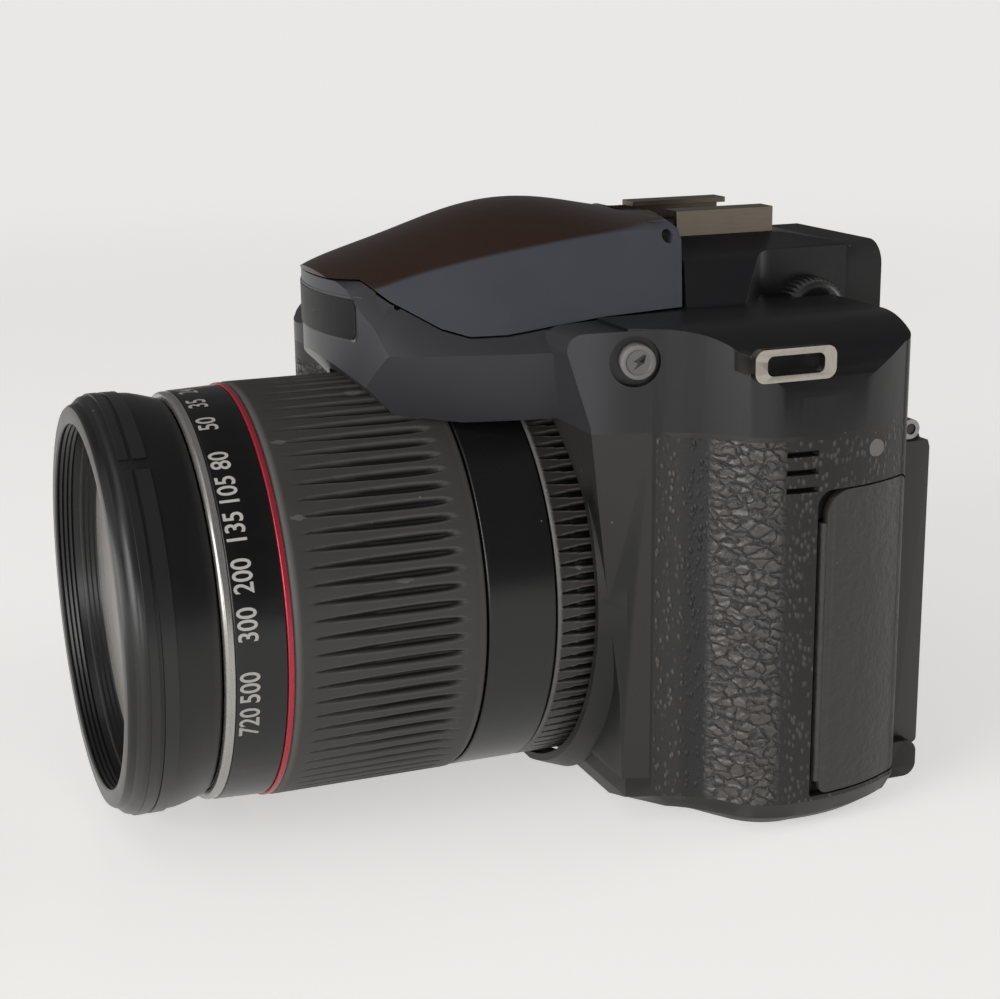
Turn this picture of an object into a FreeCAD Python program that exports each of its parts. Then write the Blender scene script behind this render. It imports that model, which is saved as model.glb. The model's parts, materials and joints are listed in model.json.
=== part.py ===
import FreeCAD, Part
import math
import os
import Sketcher
from FreeCAD import Placement, Rotation, Vector

# A bridge camera with a twist-barrel zoom, made as separate pieces.
# Millimetres. The origin is the mouth of the tripod socket, +Z is up, the lens looks along -Y
# and +X is the photographer's left. Lens stations are distances ahead of the origin.

doc = FreeCAD.newDocument("bridge_camera")
sheet = doc.addObject("Spreadsheet::Sheet", "Sizes")

driving = {
    # fits between pieces
    "runningGap": 0.06,
    "movingGap": 0.3,
    "seatGap": 0.05,
    # lens, from the body outwards
    "axisHeight": 35.6,
    "faceAhead": 17.6,
    "focusLength": 9.7,
    "focusThick": 2.44,
    "badgeLength": 11.2,
    "badgeThick": 2.5,
    "rubberLength": 30.4,
    "rubberThick": 1.6,
    "sleeveSeatRadius": 32.0,
    "sleeveWall": 1.04,
    "redLength": 0.9,
    "redThick": 1.5,
    "numberLength": 7.8,
    "numberThick": 1.2,
    "numberFrontThick": 0.9,
    "silverLength": 1.5,
    "silverThick": 0.8,
    "silverFrontThick": 0.4,
    "frontGroupLength": 14.0,
    "filterRadius": 29.0,
    "rimThick": 2.9,
    "neckThick": 2.9,
    "frontThick": 4.5,
    "filterDepth": 4.0,
    "guideWall": 1.0,
    "barrelWall": 1.2,
    "flangeReach": 2.1,
    "flangeThick": 1.6,
    "glassMargin": 2.38,
    "frontGlassThick": 5.0,
    "zoomGlassThick": 4.0,
    # body
    "bodyTop": 80.0,
    "wall": 2.2,
    "undersideHeight": 4.8,
    "bottomSplit": 5.0,
    "topSplit": 64.0,
    "coverSplit": 4.0,
    "leftReach": 49.3,
    "valleyReach": 46.4,
    "rearReach": 27.0,
    "thumbReach": 29.6,
    "gripReach": 41.0,
    "shoulderRound": 14.0,
    "rightRound": 6.0,
    "leatherThick": 1.0,
    # flash head and its hinge
    "hingeBack": -1.0,
    "hingeHeight": 90.6,
    "hingeRound": 2.6,
    "hingePinRadius": 1.0,
    "hingeHalfWidth": 12.0,
    "earHalfWidth": 4.0,
    "earRound": 2.2,
    "lidWall": 1.8,
    "wellFloor": 73.4,
    "wellHalfWidth": 17.6,
    # hot shoe
    "shoeFront": 3.4,
    "shoeLength": 17.8,
    "shoeHalfWidth": 10.5,
    "shoeSeat": 89.6,
    "shoePlate": 0.8,
    "shoeChannel": 2.5,
    "shoeLip": 0.9,
    "shoeThroat": 12.6,
    "shoeRail": 1.2,
    # eyepiece
    "finderHalfWidth": 16.4,
    "finderRear": 32.0,
    "eyecupDepth": 7.2,
    "eyecupHalfWidth": 16.0,
    "eyecupLow": 65.2,
    "eyecupHigh": 87.6,
    "eyeWindowHalf": 9.6,
    "eyeWindowLow": 70.0,
    "eyeWindowHigh": 82.6,
    # tilting screen
    "screenMargin": 7.9,
    "screenClear": 13.0,
    "screenLow": 8.0,
    "screenPivotHeight": 61.3,
    "screenPivotBack": 29.5,
    "screenThick": 4.4,
    "bracketThick": 0.7,
    "bracketPivotHeight": 5.2,
    "bracketPivotBack": 29.0,
    "knuckleRadius": 1.6,
    "stubRadius": 0.8,
    "earThick": 2.0,
    # doors
    "doorThick": 1.6,
    "terminalFront": 10.1,
    "terminalRear": 26.6,
    "terminalLow": 5.8,
    "terminalHigh": 55.0,
    "doorBarrel": 0.8,
    "cardDoorFront": -2.0,
    "cardDoorRear": 13.4,
    "cardDoorLow": 12.0,
    "cardDoorHigh": 52.0,
    "batteryDoorRear": 6.5,
    "batteryDoorMargin": 1.2,
    "doorRecess": 0.25,
    # battery and card
    "batteryWide": 36.4,
    "batteryThick": 15.7,
    "batteryTall": 47.1,
    "batteryInside": 9.6,
    "batteryOutside": 8.9,
    "batteryFront": -32.4,
    "caseWall": 0.9,
    "cardLong": 24.0,
    "cardTall": 32.0,
    "cardThick": 2.1,
    # controls
    "buttonRadius": 3.2,
    "buttonProud": 0.9,
    "shutterRadius": 5.6,
    "leverRadius": 9.2,
    "modeDialRadius": 10.6,
    "modeDialTall": 7.0,
    "commandDialRadius": 6.6,
    "commandDialTall": 3.4,
    "padRadius": 10.4,
    "okRadius": 4.2,
    "diopterRadius": 5.6,
    # tripod socket, quarter inch thread
    "tripodRadius": 3.175,
    "tripodDepth": 6.0,
    "tripodBody": 5.5,
    "tripodTall": 8.0,
}

for row, (alias, value) in enumerate(driving.items(), start=1):
    sheet.set("A%d" % row, alias)
    sheet.set("B%d" % row, str(value))
    sheet.setAlias("B%d" % row, alias)
doc.recompute()


# A size carries its value and the expression that binds it to the sheet.
class Size:
    def __init__(self, value, text):
        self.value = value
        self.text = text

    def __add__(self, other):
        other = asSize(other)
        return Size(self.value + other.value, "(%s + %s)" % (self.text, other.text))

    def __radd__(self, other):
        return asSize(other) + self

    def __sub__(self, other):
        other = asSize(other)
        return Size(self.value - other.value, "(%s - %s)" % (self.text, other.text))

    def __rsub__(self, other):
        return asSize(other) - self

    def __mul__(self, factor):
        return Size(self.value * factor, "(%s * %s)" % (self.text, factor))

    def __neg__(self):
        return self * -1


def asSize(item):
    if isinstance(item, Size):
        return item
    return Size(float(item), "(%s)" % float(item))


class SheetSizes:
    def __getattr__(self, alias):
        return Size(float(sheet.get(alias)), "Sizes." + alias)


s = SheetSizes()


# Sizes that follow from others: the sleeve fixes the lens radii, the battery fixes the grip's reach.
guideRadius = s.sleeveSeatRadius - s.sleeveWall - s.runningGap
flangeRadius = guideRadius + s.flangeReach
focusRadius = guideRadius + s.runningGap + s.focusThick
badgeRadius = guideRadius + s.badgeThick
frontRadius = s.filterRadius + s.frontThick
batteryLeftReach = s.valleyReach + s.batteryInside
batteryRightReach = batteryLeftReach + s.batteryThick
rightReach = batteryRightReach + s.batteryOutside
screenLeftReach = s.leftReach - s.screenMargin
screenRightReach = s.valleyReach - s.screenClear
insideLeft = s.leftReach - 11.3


def mm(item):
    return asSize(item).value


gripWide = mm(rightReach) - mm(s.valleyReach)
leftEdge = mm(s.leftReach)
rightEdge = -mm(rightReach)


def bind(item, name, size):
    size = asSize(size)
    setattr(item, name, size.value)
    item.setExpression(name, size.text)


def place(item, x, y, z, turn=None):
    spot = [asSize(value) for value in (x, y, z)]
    item.Placement = Placement(Vector(*[value.value for value in spot]), turn or Rotation())
    for axis, size in zip("xyz", spot):
        item.setExpression(".Placement.Base." + axis, size.text)
    return item


def block(label, x, y, z):
    item = doc.addObject("Part::Box", label)
    for name, span in (("Length", x), ("Width", y), ("Height", z)):
        bind(item, name, asSize(span[1]) - span[0])
    return place(item, x[0], y[0], z[0])


alongX = Rotation(Vector(0, 1, 0), 90)
alongY = Rotation(Vector(1, 0, 0), -90)
alongZ = Rotation()


def rod(label, radius, length, at, turn=alongZ):
    item = doc.addObject("Part::Cylinder", label)
    bind(item, "Radius", radius)
    bind(item, "Height", length)
    return place(item, *at, turn)


def cut(label, base, *tools):
    item = doc.addObject("Part::Cut", label)
    item.Base = base
    item.Tool = tools[0] if len(tools) == 1 else join(label + "_tools", *tools)
    return item


def join(label, *pieces):
    item = doc.addObject("Part::MultiFuse", label)
    item.Shapes = list(pieces)
    return item


def group(label, *pieces):
    item = doc.addObject("Part::Compound", label)
    item.Links = list(pieces)
    return item


# Rounds the edges of a piece that the test picks, by the edge's middle and direction.
def rounded(label, base, radius, picks):
    doc.recompute()
    item = doc.addObject("Part::Fillet", label)
    item.Base = base
    picked = []
    for number, edge in enumerate(base.Shape.Edges, start=1):
        run = edge.Vertexes[-1].Point - edge.Vertexes[0].Point
        if run.Length > 0 and picks(edge.CenterOfMass, run.normalize()):
            picked.append((number, mm(radius), mm(radius)))
    item.Edges = picked
    return item


def formed(label, shape):
    item = doc.addObject("Part::Feature", label)
    item.Shape = shape
    return item


def originPlane(body, role):
    return [item for item in body.Origin.OriginFeatures if item.Role == role][0]


def polygon(sketch, points):
    corners = [Vector(mm(x), mm(y), 0) for x, y in points]
    for number, corner in enumerate(corners):
        following = corners[(number + 1) % len(corners)]
        sketch.addGeometry(Part.LineSegment(corner, following), False)
    for number in range(len(corners)):
        sketch.addConstraint(Sketcher.Constraint("Coincident", number, 2, (number + 1) % len(corners), 1))
    for number, point in enumerate(points):
        for kind, size, zeroAxis in (("DistanceX", point[0], -2), ("DistanceY", point[1], -1)):
            if mm(size) == 0:
                sketch.addConstraint(Sketcher.Constraint("PointOnObject", number, 1, zeroAxis))
                continue
            row = sketch.addConstraint(Sketcher.Constraint(kind, -1, 1, number, 1, mm(size)))
            sketch.setExpression("Constraints[%d]" % row, asSize(size).text)


# A body turned about its own axis: points are (along the axis, radius) for Y and (radius, height) for Z.
def turned(label, points, at, along="Y", turn=None):
    body = doc.addObject("PartDesign::Body", label)
    sketch = body.newObject("Sketcher::SketchObject", label + "_profile")
    plane = "YZ_Plane" if along == "Y" else "XZ_Plane"
    sketch.AttachmentSupport = [(originPlane(body, plane), "")]
    sketch.MapMode = "FlatFace"
    polygon(sketch, points)
    revolution = body.newObject("PartDesign::Revolution", label + "_turned")
    revolution.Profile = (sketch, [""])
    revolution.ReferenceAxis = (sketch, ["H_Axis" if along == "Y" else "V_Axis"])
    revolution.Angle = 360
    return place(body, *at, turn)


onAxis = (0, 0, s.axisHeight)


def lensTurned(label, points):
    return turned(label, [(-asSize(ahead), radius) for ahead, radius in points], onAxis)


# Plan outline of the body, drawn in by an inset. Towards the floor each point moves in by its own
# shift, because the underside is smaller and its front left corner is cut back.
def planWire(inset, underside=0.0):
    left = mm(s.leftReach)
    right = -mm(rightReach)
    rear = mm(s.rearReach)
    thumb = mm(s.thumbReach)
    front = -mm(s.faceAhead)
    grip = -mm(s.gripReach)
    valley = mm(s.valleyReach)
    panelLeft = 38.2
    sideWide = left - panelLeft
    # name: x, y, shift x, shift y
    points = {
        "faceRight": (9.4 - valley, front, 0, 3.2),
        "faceLeft": (36.6, front, -24.6, 3.2),
        "panelEdge": (panelLeft, front + 5.0, -5.4, 6.4),
        "hollow": (panelLeft + 0.3 * sideWide, front + 10.9, -5.1, 2.6),
        "ridge": (left - 0.24 * sideWide, front + 15.6, -5.6, 0.9),
        "ridgeSide": (left - 0.06 * sideWide, front + 19.8, -4.8, 0),
        "side": (left, front + 25.0, -4.5, 0),
        "sideRound": (left - 1.1, rear - 9.0, -4.0, -1.0),
        "rearEdge": (left - 4.1, rear - 1.6, -3.9, -1.4),
        "rearRound": (left - 4.6, rear - 0.5, -3.8, -2.0),
        "rearLeft": (left - 5.8, rear, -3.5, -2.4),
        "stepIn": (-mm(screenRightReach) - 3.1, rear, 0, -2.4),
        "stepOut": (-mm(screenRightReach) - 5.1, thumb, 0, -3.0),
        "thumbEnd": (right + 16.6, thumb, 0.8, -3.0),
        "thumbRound": (right + 3.6, thumb - 4.8, 2.6, -2.2),
        "rightRear": (right, 14.0, 3.2, -0.6),
        "rightFront": (right, -18.0, 3.2, 0.6),
        "gripRound": (right + 0.07 * gripWide, grip + 9.0, 2.9, 2.2),
        "gripFront": (right + 0.368 * gripWide, grip + 1.0, 1.2, 3.2),
        "gripNose": (right + 0.614 * gripWide, grip, 0, 3.2),
        "gripInner": (right + 0.825 * gripWide, grip + 5.5, -2.2, 2.4),
        "valleySide": (-valley, front - 2.6, -2.6, 1.6),
        "valley": (2.0 - valley, front + 1.6, -1.8, 2.6),
        "valleyEnd": (5.0 - valley, front + 2.4, -0.6, 3.2),
    }
    path = [("faceLeft",), ("panelEdge",), ("hollow", "ridge"), ("ridgeSide", "side"),
            ("sideRound", "rearEdge"), ("rearRound", "rearLeft"), ("stepIn",), ("stepOut",),
            ("thumbEnd",), ("thumbRound", "rightRear"), ("rightFront",), ("gripRound", "gripFront"),
            ("gripNose", "gripInner"), ("valleySide",), ("valley", "valleyEnd"), ("faceRight",)]
    spots = {}
    for name, (x, y, shiftX, shiftY) in points.items():
        spots[name] = Vector(x + underside * shiftX, y + underside * shiftY, 0)
    edges = []
    start = spots["faceRight"]
    for step in path:
        end = spots[step[-1]]
        if len(step) == 2:
            edges.append(Part.Arc(start, spots[step[0]], end).toShape())
        else:
            edges.append(Part.LineSegment(start, end).toShape())
        start = end
    wire = Part.Wire(edges)
    if inset:
        wire = wire.makeOffset2D(-inset)
    return wire


def planPrism(inset, low, high):
    prism = Part.Face(planWire(inset)).extrude(Vector(0, 0, high - low))
    prism.translate(Vector(0, 0, low))
    return prism


def planLoft():
    wires = []
    for height, underside in ((0, 1.0), (mm(s.undersideHeight) * 0.4, 0.35), (mm(s.undersideHeight), 0),
                              (mm(s.bodyTop), 0)):
        wire = planWire(0, underside)
        wire.translate(Vector(0, 0, height))
        wires.append(wire)
    return Part.makeLoft(wires, True, True)


# A prism with a closed outline of (across, height) points, each corner rounded by its radius.
def profilePrism(plane, corners, low, high):
    spots = [Vector(a, b, 0) for a, b, r in corners]
    edges = []
    ends = []
    for number, (a, b, radius) in enumerate(corners):
        spot = spots[number]
        before = (spots[number - 1] - spot).normalize()
        after = (spots[(number + 1) % len(spots)] - spot).normalize()
        if radius == 0:
            ends.append((spot, spot, None))
            continue
        half = before.getAngle(after) / 2
        reach = radius / math.tan(half)
        middle = (before + after).normalize()
        nearest = spot + middle * (radius / math.sin(half) - radius)
        ends.append((spot + before * reach, spot + after * reach, nearest))
    for number, (first, last, nearest) in enumerate(ends):
        if nearest:
            edges.append(Part.Arc(first, nearest, last).toShape())
        following = ends[(number + 1) % len(ends)][0]
        if (following - last).Length > 1e-6:
            edges.append(Part.LineSegment(last, following).toShape())
    prism = Part.Face(Part.Wire(edges)).extrude(Vector(0, 0, high - low))
    prism.translate(Vector(0, 0, low))
    if plane == "XZ":
        prism.Placement = Placement(Vector(), Rotation(Vector(1, 0, 0), 90)).multiply(prism.Placement)
    if plane == "YZ":
        prism.Placement = Placement(Vector(), Rotation(Vector(1, 1, 1), 120)).multiply(prism.Placement)
    return prism


def boxShape(x, y, z):
    box = Part.makeBox(mm(x[1]) - mm(x[0]), mm(y[1]) - mm(y[0]), mm(z[1]) - mm(z[0]))
    box.translate(Vector(mm(x[0]), mm(y[0]), mm(z[0])))
    return box


def frontPrism(inset):
    left = mm(s.leftReach) + 0.5 - inset
    right = -mm(rightReach) - 0.5 + inset
    low = -1.0
    high = mm(s.bodyTop) - inset
    corners = [(right, low, 0), (left, low, 0), (left, high, mm(s.shoulderRound) - inset),
               (right, high, mm(s.rightRound) - inset)]
    return profilePrism("XZ", corners, -60, 60)


# What is taken off above the sloped top of the grip.
slopeStart = -12.0
slopeEnd = -44.0
slopeDrop = 13.4


def gripSlope(inset):
    top = mm(s.bodyTop) - inset
    corners = [(slopeStart, top, 0), (slopeEnd, top - slopeDrop, 0), (slopeEnd - 20, top - slopeDrop, 0),
               (slopeEnd - 20, 120, 0), (slopeStart, 120, 0)]
    return profilePrism("YZ", corners, rightEdge - 10, 5.9 - mm(s.valleyReach))


bodyForm = planLoft().common(frontPrism(0)).cut(gripSlope(0))
cavity = planPrism(mm(s.wall), mm(s.undersideHeight), mm(s.bodyTop) - mm(s.wall))
cavity = cavity.common(frontPrism(mm(s.wall))).cut(gripSlope(mm(s.wall)))
print("body", bodyForm.isValid(), round(bodyForm.Volume), "cavity", cavity.isValid(), round(cavity.Volume))


# The hump: half widths and heights of its sections from the nose to the rear of the flash head.
humpLow = 64.0
bandHeight = 75.6
grooveHeight = 79.6
humpSections = [
    # behind, half widths low, at the band, at the groove, at the crease, crease height, top
    (-57.0, 9.0, 14.5, 14.0, 10.5, 84.2, 86.6),
    (-52.3, 13.0, 19.0, 17.6, 13.0, 85.2, 88.7),
    (-44.0, 17.0, 23.4, 21.0, 14.0, 86.6, 91.3),
    (-34.0, 20.0, 26.4, 22.4, 14.4, 88.7, 94.5),
    (-25.0, 22.0, 28.4, 23.2, 14.6, 90.4, 96.3),
    (-13.0, 24.0, 30.0, 23.6, 15.0, 91.6, 95.6),
    (3.0, 25.0, 31.0, 23.8, 15.4, 91.5, 93.9),
]


def humpForm(inset):
    wires = []
    for behind, low, band, groove, crease, creaseHeight, top in humpSections:
        half = [(low - inset, humpLow), (band - inset, bandHeight), (groove - inset, grooveHeight),
                (crease - inset, creaseHeight - inset)]
        right = [Vector(x, behind, z) for x, z in half]
        left = [Vector(-x, behind, z) for x, z in reversed(half)]
        spots = [left[-1]] + right + left[:-1]
        edges = []
        for number, spot in enumerate(spots):
            following = spots[(number + 1) % len(spots)]
            if number == len(half):
                crown = Vector(0, behind, top - inset)
                edges.append(Part.Arc(spot, crown, following).toShape())
            else:
                edges.append(Part.LineSegment(spot, following).toShape())
        wires.append(Part.Wire(edges))
    return Part.makeLoft(wires, True, False)


def nosePrism(inset):
    arc = Part.Arc(Vector(-20, -50.6 + inset, 60), Vector(0, -56.2 + inset, 60), Vector(20, -50.6 + inset, 60))
    corners = [Vector(20, -50.6 + inset, 60), Vector(40, -36, 60), Vector(40, 20, 60), Vector(-40, 20, 60),
               Vector(-40, -36, 60), Vector(-20, -50.6 + inset, 60)]
    edges = [arc.toShape()]
    for first, last in zip(corners, corners[1:]):
        edges.append(Part.LineSegment(first, last).toShape())
    return Part.Face(Part.Wire(edges)).extrude(Vector(0, 0, 40))


# The parting groove between the flash head and the hump's base, front to rear: (behind, height).
groove = [(-60.0, 86.1), (-51.4, 86.1), (-48.0, 83.1), (-41.8, 79.3), (-37.7, 78.0), (-32.0, 78.0),
          (-23.7, 78.9), (-15.0, 79.6), (-1.8, 80.1)]
grooveGap = mm(s.movingGap)
lidCorners = [(y, z + grooveGap / 2, 2.0 if -50 < y < -35 else 0) for y, z in groove]
lidCorners += [(1.2, 90.0, 0), (1.2, 99.0, 0), (-60.0, 99.0, 0)]
baseCorners = [(y, z - grooveGap / 2, 2.0 if -50 < y < -35 else 0) for y, z in reversed(groove[1:])]
baseCorners += [(-58.0, 85.9, 0), (-58.0, 75.5, 0), (-51.0, 69.0, 0), (-46.5, 64.0, 0), (-1.0, 64.0, 0)]

hinge = Vector(0, mm(s.hingeBack), mm(s.hingeHeight))


def cylinderShape(radius, start, length, axis):
    return Part.makeCylinder(mm(radius), mm(length), start, axis)


def hingeRod(radius, halfWidth):
    return cylinderShape(radius, hinge - Vector(mm(halfWidth), 0, 0), mm(halfWidth) * 2, Vector(1, 0, 0))


def lensRod(radius, front, rear):
    return cylinderShape(radius, Vector(0, mm(front), mm(s.axisHeight)), mm(rear) - mm(front), Vector(0, 1, 0))


humpOuter = humpForm(0).common(nosePrism(0))
lidOuter = humpOuter.common(profilePrism("YZ", lidCorners, -40, 40))
humpInner = humpForm(mm(s.lidWall))
lidHollow = humpInner.common(boxShape((-40, 40), (-49.6, -5.5), (60, 99)))
lid = lidOuter.cut(lidHollow)
knuckles = hingeRod(s.hingeRound, s.hingeHalfWidth)
boss = boxShape((-9, 9), (-45.6, -41.0), (84.0, 99)).common(humpForm(mm(s.lidWall) / 2))
notch = boxShape((-mm(s.earHalfWidth) - grooveGap, mm(s.earHalfWidth) + grooveGap), (-5.0, 4.0), (86.6, 99))
lid = lid.fuse([knuckles, boss]).cut(notch).cut(hingeRod(s.hingePinRadius + s.runningGap, 30))
lid = lid.removeSplitter()
print("lid", lid.isValid(), len(lid.Solids), round(lid.Volume))

# The fixed top: the hump's base, the finder housing behind it and the plates beside them.
humpBase = humpForm(0).common(nosePrism(0.3)).common(profilePrism("YZ", baseCorners, -40, 40))
well = boxShape((-mm(s.wellHalfWidth), mm(s.wellHalfWidth)), (-49.8, -4.0), (mm(s.wellFloor), 99))
finderSide = [(-4.0, 62, 0), (-4.0, 79.8, 0), (-1.2, 79.8, 0), (1.5, 89.0, 0), (1.7, mm(s.shoeSeat), 0),
              (22.0, mm(s.shoeSeat), 0), (mm(s.finderRear), 87.8, 1.5), (mm(s.finderRear), 66.0, 3.0),
              (mm(s.rearReach) - 0.2, 63.9, 0)]
finderFront = [(-26, 62, 0), (26, 62, 0), (23.6, 80, 3), (18.4, 86.6, 4), (11.0, mm(s.shoeSeat), 2),
               (-11.0, mm(s.shoeSeat), 2), (-18.4, 86.6, 4), (-23.6, 80, 3)]
narrow = mm(s.finderHalfWidth)
finderPlan = [(-30, -6, 0), (30, -6, 0), (26, 7, 5), (narrow, 16, 4), (narrow, 34, 0), (-narrow, 34, 0),
              (-narrow, 16, 4), (-26, 7, 5)]
finder = profilePrism("YZ", finderSide, -40, 40).common(profilePrism("XZ", finderFront, -40, 20))
finder = finder.common(profilePrism("XY", finderPlan, 50, 100))
print("base", humpBase.isValid(), round(humpBase.Volume), "finder", finder.isValid(), round(finder.Volume))

# The collar round the focus ring: a flared ring with a flat fin on each side that leans forward.
collarBore = mm(focusRadius) + grooveGap
collar = Part.makeCone(mm(focusRadius) + 3.6, mm(focusRadius) + 2.0, 4.2)
collar.Placement = Placement(Vector(0, -mm(s.faceAhead), mm(s.axisHeight)), Rotation(Vector(1, 0, 0), 90))
finSide = [(-14.0, 8.0, 0), (-18.2, 8.0, 0), (-18.6, 22.0, 0), (-20.4, 38.0, 0), (-23.0, 65.0, 0),
           (-27.2, 79.2, 2.5), (-14.0, 79.8, 0)]
finPlan = [(-38.4, -13.4, 0), (-34.2, -27.4, 0), (-20.0, -30.0, 0), (20.0, -30.0, 0), (33.8, -27.2, 0),
           (38.2, -12.7, 0), (38.0, -10.0, 0), (-38.2, -10.0, 0)]
fins = profilePrism("YZ", finSide, -40, 40).common(profilePrism("XY", finPlan, 0, 100))
surround = collar.fuse(fins).common(boxShape((-60, 60), (-40, -10), (0.9, 99)))
surround = surround.cut(lensRod(collarBore, -60, -mm(s.faceAhead)))

bore = mm(guideRadius) + mm(s.seatGap)
lensRoom = lensRod(bore, -20, -12).fuse(lensRod(mm(flangeRadius) + mm(s.seatGap), -12.6, -6.4))
lensAbove = lensRod(collarBore + 0.5, -80, -mm(s.faceAhead))
topHollow = boxShape((-21, 21), (-15, 24.6), (60, 77.6))
tunnel = boxShape((-11, 11), (3.6, 40), (67.5, 85.4))

everything = bodyForm.fuse([surround, humpBase, finder]).cut(cavity).cut(lensRoom).cut(lensAbove)
everything = everything.cut([well, topHollow, tunnel])
lidRoom = [(y, z - grooveGap / 2, 0) for y, z in groove[1:]] + [(-1.8, 82.0, 0), (-51.4, 88.0, 0)]
everything = everything.cut(profilePrism("YZ", lidRoom, -25.6, 25.6))
print("everything", everything.isValid(), len(everything.Solids), round(everything.Volume))

# Layers that lie in the outer skin: leather on the left, rubber on the grip, and the side doors.
leatherSkin = bodyForm.cut(planPrism(mm(s.leatherThick), -5, 99))
sideWindow = boxShape((leftEdge - 11.4, leftEdge + 10), (-13.4, mm(s.rearReach) - 1.2), (mm(s.undersideHeight), 63.2))
gripWindow = boxShape((rightEdge - 10, -mm(s.valleyReach) - 0.4), (-60, -7.0), (7.0, 60.5))
doorCorners = [(mm(s.terminalRear), mm(s.terminalLow), 1.2), (mm(s.terminalRear), mm(s.terminalHigh), 1.2),
               (mm(s.terminalFront), mm(s.terminalHigh), 4.0), (mm(s.terminalFront), mm(s.terminalLow), 1.2)]
doorForm = profilePrism("YZ", doorCorners, leftEdge - 5.1, leftEdge + 10)
roomCorners = [(mm(s.terminalRear) + 0.3, mm(s.terminalLow) - 0.3, 1.5),
               (mm(s.terminalRear) + 0.3, mm(s.terminalHigh) + 0.3, 1.5),
               (mm(s.terminalFront) - 1.8, mm(s.terminalHigh) + 0.3, 2.6),
               (mm(s.terminalFront) - 1.8, mm(s.terminalLow) - 0.3, 0.6)]
doorRoom = profilePrism("YZ", roomCorners, leftEdge - 5.4, leftEdge + 10)
slots = [boxShape((leftEdge - 9.3, leftEdge + 10), (3.0, 8.2), (height, height + 0.9)) for height in (55.2, 58.0, 60.8)]
plugSpot = Vector(leftEdge - 3.5, 19.1, 60.7)
plugHole = cylinderShape(1.45, plugSpot, 4, Vector(1, 0, 0))
leather = leatherSkin.common(sideWindow).cut(doorRoom).cut(slots).cut(plugHole)
gripRubber = leatherSkin.common(gripWindow)
terminalCover = bodyForm.common(doorForm).cut(planPrism(mm(s.doorThick), -5, 99))
terminalHinge = Vector(leftEdge - 1.1, mm(s.terminalFront), mm(s.terminalLow) + 2)
barrelLength = mm(s.terminalHigh) - mm(s.terminalLow) - 7
terminalBarrel = cylinderShape(s.doorBarrel + 0.15, terminalHinge, barrelLength, Vector(0, 0, 1))
terminalCover = terminalCover.fuse(terminalBarrel).removeSplitter()
formed("terminal_cover", terminalCover)
print("leather", leather.isValid(), len(leather.Solids), "grip", gripRubber.isValid(), len(gripRubber.Solids),
      "door", terminalCover.isValid(), len(terminalCover.Solids))
formed("side_leather", leather)
formed("grip_rubber", gripRubber)
formed("flash_lid", lid)

# Holes for the controls, cut through whichever cover they cross.
slopeAngle = math.degrees(math.atan2(slopeDrop, slopeStart - slopeEnd))
shutterBack = -27.6
shutterRight = rightEdge + 17.6
shutterHeight = mm(s.bodyTop) - slopeDrop * (slopeStart - shutterBack) / (slopeStart - slopeEnd)
slopeTurn = Rotation(Vector(1, 0, 0), slopeAngle)
slopeNormal = slopeTurn.multVec(Vector(0, 0, 1))
flashSpot = Vector(37.0, -16.6, 75.0)
flashNormal = Vector(0.957, -0.292, 0)
flashTurn = Rotation(Vector(0, 0, 1), flashNormal)
buttonHole = mm(s.buttonRadius) + mm(s.runningGap)

# name: across, height, plane of the cover behind it
rearButtons = {
    "record_button": (rightEdge + 34.1, 71.6, mm(s.thumbReach)),
    "playback_button": (rightEdge + 35.6, 57.0, mm(s.thumbReach)),
}
padSpot = (rightEdge + 27.4, 38.0)
topButtons = {"exposure_button": (rightEdge + 23.0, -6.6), "burst_button": (rightEdge + 12.0, -6.6)}
modeSpot = (rightEdge + 35.2, 7.6)
commandSpot = (rightEdge + 13.6, 15.6)

holes = slots[:]
for across, height, plane in rearButtons.values():
    holes.append(cylinderShape(buttonHole, Vector(across, plane - 5, height), 8, Vector(0, 1, 0)))
holes.append(cylinderShape(mm(s.padRadius) + mm(s.runningGap), Vector(padSpot[0], mm(s.thumbReach) - 5, padSpot[1]), 8,
                           Vector(0, 1, 0)))
for across, behind in topButtons.values():
    holes.append(cylinderShape(buttonHole, Vector(across, behind, mm(s.bodyTop) - 5), 8, Vector(0, 0, 1)))
holes.append(cylinderShape(2.5 + mm(s.runningGap), Vector(*modeSpot, mm(s.bodyTop) - 5), 8, Vector(0, 0, 1)))
holes.append(cylinderShape(2.0 + mm(s.runningGap), Vector(*commandSpot, mm(s.bodyTop) - 5), 8, Vector(0, 0, 1)))
shutterSeat = Vector(shutterRight, shutterBack, shutterHeight)
holes.append(cylinderShape(2.4 + mm(s.runningGap), shutterSeat - slopeNormal * 6, 9, slopeNormal))
holes.append(cylinderShape(3.9, flashSpot - flashNormal * 1.9, 8, flashNormal))
holes.append(cylinderShape(1.6 + mm(s.runningGap), flashSpot - flashNormal * 12, 14, flashNormal))
diopterSpot = Vector(mm(s.finderHalfWidth), 24.6, 77.2)
holes.append(cylinderShape(1.5 + mm(s.runningGap), diopterSpot - Vector(6, 0, 0), 8, Vector(1, 0, 0)))
wheelRoom = mm(s.diopterRadius) + mm(s.movingGap)
holes.append(cylinderShape(wheelRoom, diopterSpot, 4.2, Vector(1, 0, 0)))
lampSpot = (5.4 - mm(s.valleyReach), -15.0, 68.0)
holes.append(cylinderShape(2.4 + mm(s.seatGap), Vector(lampSpot[0], -21, lampSpot[2]), 12, Vector(0, 1, 0)))

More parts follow.
